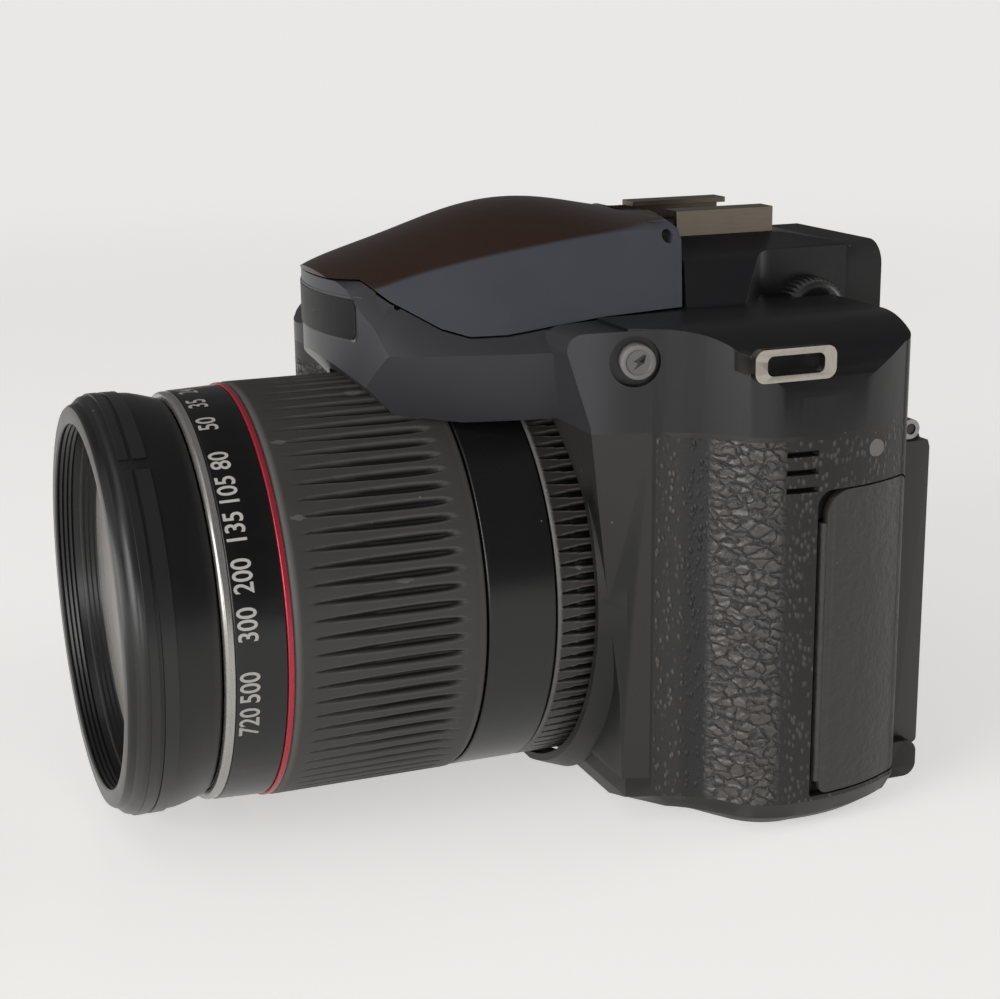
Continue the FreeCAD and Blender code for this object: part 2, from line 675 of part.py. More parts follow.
# Rooms for the doors, the screen's hinge ears, the lugs and the sockets.
terminalRoom = bodyForm.common(doorRoom).cut(planPrism(mm(s.doorThick) + 0.25, -5, 99))
socketFace = leftEdge - 7.7
socketRoom = boxShape((socketFace, leftEdge + 10), (11.8, 24.4), (9.6, 51.4))
cardRoom = boxShape((rightEdge - 10, rightEdge + mm(s.doorThick) + 0.2),
                    (mm(s.cardDoorFront) - 0.3, mm(s.cardDoorRear) + 1.6),
                    (mm(s.cardDoorLow) - 0.3, mm(s.cardDoorHigh) + 0.3))
cardMouth = boxShape((rightEdge - 10, rightEdge + 10), (5.6, 10.4), (15.2, 48.8))
undersideMargin = Part.Face(planWire(mm(s.batteryDoorMargin), 1.0)).extrude(Vector(0, 0, 10))
undersideRoom = Part.Face(planWire(mm(s.batteryDoorMargin) - 0.3, 1.0)).extrude(Vector(0, 0, 10))
batteryDoorLeft = rightEdge + gripWide - 4.6
batteryDoorRoom = undersideRoom.common(boxShape((rightEdge - 10, batteryDoorLeft + 1.3),
                                                (-60, mm(s.batteryDoorRear) + 0.3), (-1, 2.2)))
batteryDoorRoom = batteryDoorRoom.fuse(boxShape((batteryDoorLeft - 2.0, batteryDoorLeft + 1.3),
                                                (-40, -10), (-1, 2.2)))
batteryRight = -mm(batteryRightReach)
batteryLeft = -mm(batteryLeftReach)
batteryRear = mm(s.batteryFront) + mm(s.batteryWide)
batteryMouth = boxShape((batteryRight - 0.2, batteryLeft + 0.2),
                        (mm(s.batteryFront) - 0.2, batteryRear + 0.2), (2, 6))

# The ears that carry the screen's lower hinge, one each side of the bracket.
earLeft = (mm(screenLeftReach) + 0.3, mm(screenLeftReach) + 0.3 + mm(s.earThick))
earRight = (-mm(screenRightReach) - 0.3 - mm(s.earThick), -mm(screenRightReach) - 0.3)
earBack = mm(s.bracketPivotBack) + 2.6
ears = []
for span in (earLeft, earRight):
    ear = boxShape(span, (mm(s.rearReach) - 1.0, earBack), (3.4, 9.6))
    ends = [edge for edge in ear.Edges if edge.CenterOfMass.y > earBack - 0.01 and edge.BoundBox.XLength > 1]
    ears.append(ear.makeFillet(2.2, ends))
bracketHinge = Vector(-50, mm(s.bracketPivotBack), mm(s.bracketPivotHeight))
earBore = cylinderShape(s.stubRadius + s.runningGap, bracketHinge, 100, Vector(1, 0, 0)).common(
    boxShape((earRight[0] + 0.4, earLeft[1] - 0.4), (20, 40), (0, 20)))

# Strap lugs: a flat frame held off the body by two stems.
def lugParts(side, wall, front, low):
    stems = []
    frame = Part.makeBox(1.6, 13.6, 5.0)
    frame = frame.makeFillet(1.6, [edge for edge in frame.Edges if edge.BoundBox.XLength > 1])
    eye = Part.makeBox(3.0, 9.6, 3.0)
    eye = eye.makeFillet(1.0, [edge for edge in eye.Edges if edge.BoundBox.XLength > 2])
    eye.translate(Vector(-0.7, 2.0, 1.0))
    frame = frame.cut(eye)
    for offset in (0.0, 11.8):
        stem = Part.makeBox(5.5, 1.8, 3.0)
        stem.translate(Vector(-5.5, offset, 1.0))
        stems.append(stem)
    lug = frame.fuse(stems).removeSplitter()
    if side < 0:
        lug = lug.mirror(Vector(), Vector(1, 0, 0))
    lug.translate(Vector(side * wall, front, low))
    return lug


lugLeft = lugParts(1, leftEdge - 0.1, -3.8, 72.9)
lugRight = lugParts(-1, 1.4 - rightEdge, -2.0, 69.6)
formed("strap_lug_left", lugLeft)
formed("strap_lug_right", lugRight)

# The four covers.
earBlock = boxShape((-mm(s.earHalfWidth), mm(s.earHalfWidth)), (mm(s.hingeBack), mm(s.shoeFront) - 0.1),
                    (mm(s.hingeHeight) - 3.0, mm(s.hingeHeight) + mm(s.earRound)))
covers = everything.fuse([hingeRod(s.earRound, s.earHalfWidth), earBlock] + ears)
covers = covers.cut(hingeRod(s.hingePinRadius + s.seatGap, 30)).cut(earBore)
covers = covers.cut([leather, gripRubber, terminalRoom, socketRoom, cardRoom, cardMouth, batteryDoorRoom,
                     batteryMouth, lugLeft, lugRight])
covers = covers.cut(cylinderShape(s.doorBarrel + 0.45, terminalHinge - Vector(0, 0, 0.4), barrelLength + 0.8,
                                  Vector(0, 0, 1)))
covers = covers.cut(holes)
socketFloor = boxShape((socketFace - 1.6, socketFace), (11.0, 25.6), (8.8, 52.2))
screwRadius = 2.2
screwSpots = [(31.0, 8.0), (31.0, 19.0), (-38.0, 17.0), (-38.0, -7.0)]
for across, behind in screwSpots:
    covers = covers.cut(cylinderShape(screwRadius, Vector(across, behind, -1), 2.8, Vector(0, 0, 1)))
    covers = covers.cut(cylinderShape(1.0, Vector(across, behind, 0), 5.5, Vector(0, 0, 1)))
covers = covers.cut(cylinderShape(s.tripodBody, Vector(0, 0, -1), 8, Vector(0, 0, 1)))
covers = covers.cut(plugHole)
shoeScrews = [(-4.0, 7.0), (4.0, 7.0), (-4.0, 17.4), (4.0, 17.4)]
for across, behind in shoeScrews:
    covers = covers.cut(cylinderShape(1.15, Vector(across, behind, mm(s.shoeSeat) - 2.2), 3, Vector(0, 0, 1)))

belowSplit = mm(s.bottomSplit)
aboveSplit = mm(s.topSplit)
split = mm(s.coverSplit)
wide = (-120, 120)
frontRing = boxShape((-38.5, 38.5), (-40, -mm(s.faceAhead)), (-1, aboveSplit))
frontRing = frontRing.fuse(lensRod(focusRadius + 2.2, -21.9, -mm(s.faceAhead)))
coverPieces = {
    "bottom_cover": boxShape(wide, wide, (-1, belowSplit)).cut(frontRing),
    "front_cover": boxShape(wide, (-120, split), (belowSplit, aboveSplit)).fuse(frontRing),
    "rear_cover": boxShape(wide, (split, 120), (belowSplit, aboveSplit)),
    "top_cover": boxShape(wide, wide, (aboveSplit, 120)).cut(frontRing),
}
for label, region in coverPieces.items():
    piece = covers.common(region)
    if label == "rear_cover":
        piece = piece.fuse(socketFloor).removeSplitter()
    solids = sorted(piece.Solids, key=lambda solid: solid.Volume)
    print(label, piece.isValid(), [round(solid.Volume, 2) for solid in solids])
    formed(label, piece)

group("strap_lugs", doc.getObject("strap_lug_left"), doc.getObject("strap_lug_right"))


def common(label, *pieces):
    item = doc.addObject("Part::MultiCommon", label)
    item.Shapes = list(pieces)
    return item


# Screws: flat heads with a cross slot.
def crossScrew(label, headRadius, headTall, shankRadius, shankLong, at):
    head = rod(label + "_head", headRadius, headTall, at)
    shank = rod(label + "_shank", shankRadius, shankLong, at)
    bars = []
    for name, half, narrowHalf in (("_bar_a", headRadius * 0.6, 0.25), ("_bar_b", 0.25, headRadius * 0.6)):
        bars.append(block(label + name, (at[0] - half, at[0] + half), (at[1] - narrowHalf, at[1] + narrowHalf),
                          (at[2] - 0.1, asSize(at[2]) + 0.7)))
    return cut(label, join(label + "_body", head, shank), *bars)


bottomScrews = []
for number, (across, behind) in enumerate(screwSpots, start=1):
    bottomScrews.append(crossScrew("cover_screw_%d" % number, 2.15, 1.5, 0.95, 5.0, (across, behind, 0.3)))
bottomScrews.append(rod("side_plug", 1.4, 1.9, (plugSpot.x + 0.1, plugSpot.y, plugSpot.z), alongX))
group("cover_screws", *bottomScrews)

# Lens, from the face forward: stations along the axis, and the radii that stand on the sleeve.
rubberOuter = s.sleeveSeatRadius + s.rubberThick
redOuter = s.sleeveSeatRadius + s.redThick
numberOuter = s.sleeveSeatRadius + s.numberThick
numberFrontOuter = s.sleeveSeatRadius + s.numberFrontThick
silverOuter = s.sleeveSeatRadius + s.silverThick
silverFrontOuter = s.sleeveSeatRadius + s.silverFrontThick
neckOuter = s.filterRadius + s.neckThick
rimOuter = s.filterRadius + s.rimThick
focusRear = s.faceAhead + s.movingGap
focusFront = focusRear + s.focusLength
badgeRear = focusFront + s.movingGap
badgeFront = badgeRear + s.badgeLength
zoomRear = badgeFront + s.movingGap
rubberFront = zoomRear + s.rubberLength
redFront = rubberFront + s.redLength
numberFront = redFront + s.numberLength
silverFront = numberFront + s.silverLength
frontStart = silverFront + s.movingGap
frontEnd = frontStart + s.frontGroupLength
filterBack = frontEnd - s.filterDepth
lipRear = silverFront - 2.8
guideRear = 8.0
guideFront = lipRear - s.movingGap
ringBore = guideRadius + s.runningGap
guideBore = guideRadius - s.guideWall
middleOuter = guideBore - s.runningGap
middleInner = middleOuter - s.barrelWall
innerOuter = middleInner - s.runningGap
innerInner = innerOuter - s.barrelWall
middleRear = 24.0
innerRear = 30.0
innerFront = frontStart + 4.2

lensTurned("guide_tube", [(guideRear, guideBore), (guideRear, flangeRadius),
                          (s.flangeThick + guideRear, flangeRadius), (s.flangeThick + guideRear, guideRadius),
                          (guideFront, guideRadius), (guideFront, guideBore)])
lensTurned("focus_ring", [(focusRear, ringBore), (focusRear, focusRadius), (focusFront, focusRadius),
                          (focusFront, ringBore)])
lensTurned("badge_ring", [(badgeRear, guideRadius), (badgeRear, badgeRadius), (badgeFront, badgeRadius),
                          (badgeFront, guideRadius)])
silverSeat = s.sleeveSeatRadius - 0.6
lensTurned("zoom_ring", [(zoomRear, ringBore), (zoomRear, s.sleeveSeatRadius), (redFront, s.sleeveSeatRadius),
                         (redFront, numberOuter), (numberFront, numberFrontOuter),
                         (numberFront, silverSeat), (silverFront, silverSeat),
                         (silverFront, middleOuter + s.movingGap), (lipRear, middleOuter + s.movingGap),
                         (lipRear, ringBore)])
rubberBlank = lensTurned("zoom_rubber_blank", [(zoomRear, s.sleeveSeatRadius), (zoomRear, rubberOuter),
                                               (rubberFront, rubberOuter), (rubberFront, s.sleeveSeatRadius)])
# Sunk leaf-shaped flutes round the rubber: the real ring has eighty, here one broad one stands for three.
# Each tool is a long flat-sided spindle, widest near its rear end.
fluteCount = 28
fluteDeep = 0.69 * mm(s.rubberThick)
fluteHalf = 0.94 * mm(s.rubberThick)
fluteBack = -mm(zoomRear) - 3.6
fluteWidest = fluteBack - 9.0
fluteAhead = 2.6 - mm(rubberFront)
girdle = [Vector(-fluteDeep, fluteWidest, 0), Vector(0, fluteWidest, -fluteHalf),
          Vector(fluteDeep, fluteWidest, 0), Vector(0, fluteWidest, fluteHalf)]
leafFaces = []
for first, last in zip(girdle, girdle[1:] + girdle[:1]):
    for tip in (Vector(0, fluteBack, 0), Vector(0, fluteAhead, 0)):
        leafFaces.append(Part.Face(Part.makePolygon([first, last, tip, first])))
leaf = Part.makeSolid(Part.makeShell(leafFaces))
if leaf.Volume < 0:
    leaf.reverse()
leaf.translate(Vector(mm(rubberOuter) + 0.05, 0, mm(s.axisHeight)))
flutes = []
for number in range(fluteCount):
    flute = leaf.copy()
    flute.rotate(Vector(0, 0, mm(s.axisHeight)), Vector(0, 1, 0), 360 * (number + 0.5) / fluteCount)
    flutes.append(flute)
cut("zoom_rubber", rubberBlank, formed("zoom_rubber_flutes", Part.makeCompound(flutes)))
lensTurned("red_ring", [(rubberFront, s.sleeveSeatRadius), (rubberFront, redOuter), (redFront, redOuter),
                        (redFront, s.sleeveSeatRadius)])
lensTurned("silver_ring", [(numberFront, silverSeat), (numberFront, silverOuter),
                           (silverFront - 0.4, silverOuter), (silverFront, silverFrontOuter),
                           (silverFront, silverSeat)])
lensTurned("middle_barrel", [(middleRear, middleInner), (middleRear, middleOuter),
                             (guideFront - 0.4, middleOuter), (guideFront - 0.4, middleInner)])
rod("zoom_lens", middleInner, s.zoomGlassThick, (0, -(s.zoomGlassThick + (middleRear + 1.5)), s.axisHeight), alongY)
lensTurned("inner_barrel", [(innerRear, innerInner), (innerRear, innerOuter), (innerFront, innerOuter),
                            (innerFront, innerInner)])
lensTurned("front_ring", [(frontStart, innerOuter), (frontStart, neckOuter),
                          (frontStart + 1.7, neckOuter + 0.4), (frontStart + 3.1, frontRadius - 0.6),
                          (frontStart + 4.7, frontRadius - 0.3), (frontStart + 6.3, frontRadius),
                          (frontStart + 9.0, frontRadius), (frontStart + 9.1, frontRadius - 0.2),
                          (frontStart + 9.3, frontRadius - 0.2), (frontStart + 9.4, frontRadius),
                          (frontEnd - 1.6, frontRadius), (frontEnd - 1.1, frontRadius - 0.4),
                          (frontEnd - 0.3, rimOuter), (frontEnd, rimOuter - 0.5), (frontEnd, s.filterRadius),
                          (filterBack, s.filterRadius), (filterBack, innerOuter)])
glassRadius = innerInner - s.glassMargin
glassSeat = glassRadius + s.seatGap
bafflePoints = [(frontStart, glassSeat), (frontStart, innerInner), (innerFront, innerInner),
                (innerFront, innerOuter), (filterBack, innerOuter)]
steps = 6
for step in range(steps):
    part = 1.0 - step / steps
    wide = glassSeat + (innerOuter - 0.4 - glassSeat) * part
    bafflePoints.append((filterBack - (filterBack - innerFront) * (1 - part), wide))
    bafflePoints.append((filterBack - (filterBack - innerFront) * (1 - part + 0.7 / steps), wide))
bafflePoints.append((innerFront, glassSeat))
lensTurned("baffle_ring", bafflePoints)
glassFront = frontStart + s.frontGlassThick + 3.0
dome = doc.addObject("Part::Sphere", "front_lens_dome")
bind(dome, "Radius", 60)
place(dome, 0, 60 - glassFront, s.axisHeight)
lensBlank = rod("front_lens_blank", glassRadius, s.frontGlassThick + 3.0, (0, -glassFront, s.axisHeight), alongY)
common("front_lens", dome, lensBlank)

# Flash head fittings.
rod("flash_hinge_pin", s.hingePinRadius, s.hingeHalfWidth * 2, (-s.hingeHalfWidth, s.hingeBack, s.hingeHeight), alongX)
reflectorBlock = block("flash_reflector_block", (-12.5, 12.5), (-46.2, -40.0), (77.0, 84.0))
reflectorHollow = block("flash_reflector_hollow", (-11.5, 11.5), (-46.3, -42.0), (78.0, 83.0))
cut("flash_reflector", reflectorBlock, reflectorHollow)
block("flash_window", (-12.5, 12.5), (-47.0, -46.2), (77.0, 84.0))

# Hot shoe.
shoeRear = s.shoeFront + s.shoeLength
shoeFloor = s.shoeSeat + s.shoePlate
shoeTop = shoeFloor + s.shoeChannel + s.shoeLip
shoePieces = [block("shoe_plate", (-s.shoeHalfWidth, s.shoeHalfWidth), (s.shoeFront, shoeRear), (s.shoeSeat, shoeFloor))]
for side in (-1, 1):
    outerEdge = s.shoeHalfWidth * side
    railEdge = (s.shoeHalfWidth - s.shoeRail) * side
    lipEdge = s.shoeThroat * (side / 2)
    rail = sorted((outerEdge, railEdge), key=mm)
    lip = sorted((outerEdge, lipEdge), key=mm)
    shoePieces.append(block("shoe_rail_%d" % (side + 2), rail, (s.shoeFront, shoeRear), (shoeFloor, shoeTop)))
    shoePieces.append(block("shoe_lip_%d" % (side + 2), lip, (s.shoeFront, shoeRear), (shoeTop - s.shoeLip, shoeTop)))
shoeHoles = []
for number, (across, behind) in enumerate(shoeScrews, start=1):
    shoeHoles.append(rod("shoe_hole_%d" % number, 1.15, 2.0, (across, behind, s.shoeSeat - 0.5)))
cut("hot_shoe", join("hot_shoe_body", *shoePieces), *shoeHoles)
screws = []
for number, (across, behind) in enumerate(shoeScrews, start=1):
    pin = rod("shoe_screw_%d_pin" % number, 1.1, s.shoePlate + 2.0, (across, behind, s.shoeSeat - 2.0))
    slot = block("shoe_screw_%d_slot" % number, (across - 0.8, across + 0.8), (behind - 0.2, behind + 0.2),
                 (shoeFloor - 0.4, shoeFloor + 0.4))
    screws.append(cut("shoe_screw_%d" % number, pin, slot))
group("hot_shoe_screws", *screws)

# Eyepiece.
eyecupRear = s.finderRear + s.eyecupDepth
eyeBlock = block("eyecup_block", (-s.eyecupHalfWidth, s.eyecupHalfWidth), (s.finderRear, eyecupRear),
                 (s.eyecupLow, s.eyecupHigh))
eyeRound = rounded("eyecup_round", eyeBlock, 4.0, lambda middle, run: abs(run.y) > 0.9)
eyeWindow = block("eyecup_window", (-s.eyeWindowHalf, s.eyeWindowHalf), (s.finderRear - 1, eyecupRear + 1),
                  (s.eyeWindowLow, s.eyeWindowHigh))
eyeFlare = block("eyecup_flare", (-s.eyeWindowHalf - 1.6, s.eyeWindowHalf + 1.6), (eyecupRear - 2.6, eyecupRear + 1),
                 (s.eyeWindowLow - 1.4, s.eyeWindowHigh + 1.4))
cut("eyecup", eyeRound, eyeWindow, eyeFlare)
block("eyepiece_lens", (-s.eyeWindowHalf + s.seatGap, s.eyeWindowHalf - s.seatGap),
      (s.finderRear + 0.2, s.finderRear + 1.8), (s.eyeWindowLow + s.seatGap, s.eyeWindowHigh - s.seatGap))
block("viewfinder_display", (-8, 8), (3.6, 8.0), (69.6, 84.6))

# Rear screen on its swinging bracket.
screenLeft = mm(screenLeftReach)
screenRight = -mm(screenRightReach)
pivotBack = mm(s.screenPivotBack)
pivotHigh = mm(s.screenPivotHeight)
bracketBack = mm(s.bracketPivotBack)
bracketLow = mm(s.bracketPivotHeight)
plateFront = mm(s.rearReach) + mm(s.movingGap)
plateRear = plateFront + mm(s.bracketThick)
frameFront = plateRear + 0.7
frameRear = frameFront + mm(s.screenThick)
earWide = mm(s.earThick)
acrossAxis = Vector(1, 0, 0)


def acrossRod(radius, left, right, behind, height):
    return cylinderShape(radius, Vector(right, behind, height), left - right, acrossAxis)


bracket = boxShape((screenRight, screenLeft), (plateFront, plateRear), (bracketLow, pivotHigh + 0.9))
bracket = bracket.fuse(acrossRod(s.knuckleRadius, screenLeft, screenRight, bracketBack, bracketLow))
bracket = bracket.fuse(acrossRod(s.stubRadius, screenLeft + 1.6, screenRight - 1.6, bracketBack, bracketLow))
for low, high in ((screenRight, screenRight + earWide), (screenLeft - earWide, screenLeft)):
    bracket = bracket.fuse(acrossRod(s.knuckleRadius, high, low, pivotBack, pivotHigh))
    bracket = bracket.fuse(boxShape((low, high), (plateFront, pivotBack), (pivotHigh - 1.6, pivotHigh + 0.9)))
bracket = bracket.cut(acrossRod(s.stubRadius + s.runningGap, screenLeft + 1, screenRight - 1, pivotBack, pivotHigh))
formed("screen_bracket", bracket.removeSplitter())

frameCorners = [(frameFront, mm(s.screenLow), 0.6), (frameRear, mm(s.screenLow), 0.9),
                (frameRear, pivotHigh - 3.1, 0.8), (frameRear - 0.9, pivotHigh - 0.4, 0.8),
                (pivotBack + 1.0, pivotHigh + 1.0, 0.5), (frameFront, pivotHigh + 1.0, 0.2)]
frame = profilePrism("YZ", frameCorners, screenRight, screenLeft)
notchLow = pivotHigh - 1.6 - 0.4
for low, high in ((screenRight - 1, screenRight + earWide + 0.3), (screenLeft - earWide - 0.3, screenLeft + 1)):
    frame = frame.cut(boxShape((low, high), (20, 40), (notchLow, 99)))
frame = frame.fuse(acrossRod(s.stubRadius, screenLeft - 0.3, screenRight + 0.3, pivotBack, pivotHigh))
glassSpanX = (screenRight + 2.2, screenLeft - 2.2)
glassSpanZ = (mm(s.screenLow) + 2.4, pivotHigh - 4.2)
frame = frame.cut(boxShape((glassSpanX[0] - 0.05, glassSpanX[1] + 0.05), (frameRear - 1.0, frameRear + 1),
                           (glassSpanZ[0] - 0.05, glassSpanZ[1] + 0.05)))
formed("screen_frame", frame.removeSplitter())
glass = boxShape(glassSpanX, (frameRear - 1.0, frameRear - 0.2), glassSpanZ)
formed("screen_glass", glass)

# Battery, its case and door, and the card with its slot and door.
battery = block("battery_block", (-batteryRightReach, -batteryLeftReach),
                (s.batteryFront, s.batteryFront + s.batteryWide), (3.2, s.batteryTall + 3.2))
rounded("battery", battery, 2.0, lambda middle, run: abs(run.z) > 0.9)
caseGap = 0.1
wall = s.caseWall + caseGap
caseOuter = block("battery_case_outer", (-batteryRightReach - wall, -batteryLeftReach + wall),
                  (s.batteryFront - wall, s.batteryFront + s.batteryWide + wall),
                  (s.undersideHeight, s.batteryTall + 3.2 + wall))
caseInner = block("battery_case_inner", (-batteryRightReach - caseGap, -batteryLeftReach + caseGap),
                  (s.batteryFront - caseGap, s.batteryFront + s.batteryWide + caseGap),
                  (s.undersideHeight - 1, s.batteryTall + 3.2 + caseGap))
cut("battery_case", caseOuter, caseInner)
doorPlate = undersideMargin.common(boxShape((rightEdge - 10, batteryDoorLeft), (-60, mm(s.batteryDoorRear)),
                                            (mm(s.doorRecess), mm(s.doorRecess) + mm(s.doorThick))))
doorPivotHigh = mm(s.doorRecess) + mm(s.doorBarrel)
doorBarrel = cylinderShape(s.doorBarrel, Vector(batteryDoorLeft + 0.1, -16.0, doorPivotHigh),
                           mm(s.batteryDoorRear) + 15.0, Vector(0, 1, 0))
formed("battery_door", doorPlate.fuse(doorBarrel).removeSplitter())

cardFront = 7.0
cardRear = s.cardThick + cardFront
cardLow = 16.0
cardRight = 3.2 - rightReach
block("memory_card", (cardRight, s.cardLong + cardRight), (cardFront, cardRear), (cardLow, s.cardTall + cardLow))
slotRight = -rightReach + s.wall
slotOuter = block("card_slot_outer", (slotRight, s.cardLong + cardRight + 0.9), (cardFront - 1.9, cardRear + 1.9),
                  (cardLow - 1.5, s.cardTall + cardLow + 1.5))
slotInner = block("card_slot_inner", (slotRight - 1, s.cardLong + cardRight + 0.1), (cardFront - 0.1, cardRear + 0.1),
                  (cardLow - 0.1, s.cardTall + cardLow + 0.1))
cut("card_slot", slotOuter, slotInner)
cardPivot = (-rightReach + s.doorBarrel, s.cardDoorRear, s.cardDoorLow)
cardPlate = block("card_door_plate", (-rightReach, -rightReach + s.doorThick), (s.cardDoorFront, s.cardDoorRear),
                  (s.cardDoorLow, s.cardDoorHigh))
cardBarrel = rod("card_door_barrel", s.doorBarrel, s.cardDoorHigh - s.cardDoorLow, cardPivot)
join("card_door", cardPlate, cardBarrel)

# Inside: chassis plate with posts, board, sensor, capacitor, speaker, sockets, lamp.
chassisRear = 1.6 - guideRear
plate = block("chassis_plate", (-33, insideLeft - 5), (-guideRear, chassisRear), (s.undersideHeight, 70.0))
window = block("chassis_window", (-9, 9), (-guideRear - 1, chassisRear + 1), (28.0, 43.0))
boardFront = 14.0
posts = []
for number, (across, height) in enumerate([(-30, 14), (insideLeft - 8, 14), (-30, 56), (insideLeft - 8, 56)], start=1):
    posts.append(rod("chassis_post_%d" % number, 2.0, boardFront - chassisRear, (across, chassisRear, height), alongY))
cut("chassis", join("chassis_body", plate, *posts), window)
block("image_sensor", (-12, 12), (chassisRear, -3.0), (26.0, 46.0))
boardPlate = block("main_board_plate", (-38, insideLeft), (boardFront, boardFront + 1.6), (10.0, 60.0))
boardChip = block("main_board_chip", (-10, 8), (boardFront + 1.6, boardFront + 3.2), (26.0, 44.0))
boardChipTwo = block("main_board_chip_two", (15, 27), (boardFront + 1.6, boardFront + 2.8), (30.0, 40.0))
join("main_board", boardPlate, boardChip, boardChipTwo)
rod("flash_capacitor", 5.0, 27.0, (s.leftReach - 10.3, 1.5, s.undersideHeight))
rod("speaker", 4.6, 2.2, (s.leftReach - 5.2, 7.2, 58.4), alongX)
rod("focus_lamp", 2.4, 5.5, lampSpot, alongY)

socketDeep = 3.6
sockets = []
for number, (low, high, front, rear) in enumerate([(28.0, 41.0, 15.0, 20.0), (14.0, 22.6, 15.0, 19.0)], start=1):
    shell = block("socket_%d_shell" % number, (socketFace, socketFace + socketDeep), (front, rear), (low, high))
    hollow = block("socket_%d_hollow" % number, (socketFace + 0.8, socketFace + 6), (front + 0.5, rear - 0.5),
                   (low + 0.5, high - 0.5))
    tongue = block("socket_%d_tongue" % number, (socketFace + 0.6, socketFace + socketDeep - 0.6),
                   ((front + rear) / 2 - 0.5, (front + rear) / 2 + 0.5), (low + 1.6, high - 1.6))
    sockets.append(join("socket_%d" % number, cut("socket_%d_case" % number, shell, hollow), tongue))
jackShell = rod("socket_3_shell", 3.2, socketDeep, (socketFace, 17.6, 47.0), alongX)
jackHole = rod("socket_3_hole", 1.75, socketDeep, (socketFace + 0.6, 17.6, 47.0), alongX)
sockets.append(cut("socket_3", jackShell, jackHole))
group("terminal_sockets", *sockets)

tripodSeat = s.tripodBody - s.seatGap
turned("tripod_socket", [(s.tripodRadius, 0), (tripodSeat, 0), (tripodSeat, s.undersideHeight),
                         (6.0, s.undersideHeight), (6.0, s.undersideHeight + 1.4),
                         (tripodSeat, s.undersideHeight + 1.4), (tripodSeat, s.tripodTall), (0, s.tripodTall),
                         (0, s.tripodDepth), (s.tripodRadius, s.tripodDepth)], (0, 0, 0), "Z")

# Dials, levers and buttons. Heights are above the cover surface they stand on.
flangeGap = s.wall + s.movingGap


def dial(label, radius, tall, shaft, at, turn=None):
    lower = -(flangeGap + 1.2)
    return turned(label, [(0, lower), (asSize(shaft) + 1.0, lower), (asSize(shaft) + 1.0, -flangeGap),
                          (shaft, -flangeGap), (shaft, s.movingGap), (radius, s.movingGap),
                          (radius, s.movingGap + tall - 0.7), (asSize(radius) - 0.7, s.movingGap + tall),
                          (0, s.movingGap + tall)], at, "Z", turn)


dial("mode_dial", s.modeDialRadius, s.modeDialTall, 2.5, (*modeSpot, s.bodyTop))
dial("command_dial", s.commandDialRadius, s.commandDialTall, 2.0, (*commandSpot, s.bodyTop))


def button(label, radius, at, turn=None):
    lower = -(flangeGap + 0.9)
    return turned(label, [(0, lower), (asSize(radius) + 0.9, lower), (asSize(radius) + 0.9, -flangeGap),
                          (radius, -flangeGap), (radius, s.buttonProud - 0.3),
                          (asSize(radius) - 0.3, s.buttonProud), (0, s.buttonProud)], at, "Z", turn)


for name, (across, height, plane) in rearButtons.items():
    button(name, s.buttonRadius, (across, s.thumbReach, height), alongY)
for name, (across, behind) in topButtons.items():
    button(name, s.buttonRadius, (across, behind, s.bodyTop))
padPlace = (padSpot[0], s.thumbReach, padSpot[1])
padLower = -(flangeGap + 0.9)
padBore = s.okRadius + s.runningGap
turned("selector_pad", [(padBore, padLower), (s.padRadius + 0.9, padLower), (s.padRadius + 0.9, -flangeGap),
                        (s.padRadius, -flangeGap), (s.padRadius, s.buttonProud - 0.3),
                        (s.padRadius - 0.3, s.buttonProud), (padBore, s.buttonProud)], padPlace, "Z", alongY)
okUpper = padLower - 0.9
turned("ok_button", [(0, okUpper - 0.9), (s.okRadius + 0.8, okUpper - 0.9), (s.okRadius + 0.8, okUpper),
                     (s.okRadius, okUpper), (s.okRadius, s.buttonProud), (s.okRadius - 0.3, s.buttonProud + 0.3),
                     (0, s.buttonProud + 0.3)], padPlace, "Z", alongY)

seat = tuple(shutterSeat)
turned("shutter_button", [(0, -4.4), (3.4, -4.4), (3.4, -flangeGap - 0.1), (2.4, -flangeGap - 0.1), (2.4, 1.6),
                          (s.shutterRadius, 1.6), (s.shutterRadius, 4.2), (s.shutterRadius - 0.9, 4.8),
                          (0, 4.3)], seat, "Z", slopeTurn)
leverBore = s.shutterRadius + s.movingGap
ring = turned("power_lever_ring", [(leverBore, s.movingGap), (s.leverRadius, s.movingGap), (s.leverRadius, 2.9),
                                   (s.leverRadius - 0.4, 3.3), (leverBore, 3.3)], seat, "Z", slopeTurn)
tabSpot = shutterSeat + slopeTurn.multVec(Vector(-2.0, -mm(s.leverRadius) - 2.6, 0.9))
tab = doc.addObject("Part::Box", "power_lever_tab")
for name, size in (("Length", 4.0), ("Width", 3.4), ("Height", 2.0)):
    bind(tab, name, size)
tab.Placement = Placement(tabSpot, slopeTurn)
join("power_lever", ring, tab)

flashSeat = tuple(flashSpot)
turned("flash_button", [(0, -9.0), (1.6, -9.0), (1.6, -1.2), (3.3, -1.2), (3.3, 0.0), (2.9, 0.4), (0, 0.4)],
       flashSeat, "Z", flashTurn)
turned("diopter_wheel", [(0, -4.6), (1.5, -4.6), (1.5, s.movingGap), (s.diopterRadius - 0.4, s.movingGap),
                         (s.diopterRadius, s.movingGap + 0.4), (s.diopterRadius, 3.5),
                         (s.diopterRadius - 0.4, 3.9), (0, 3.9)], tuple(diopterSpot), "Z", alongX)

doc.recompute()

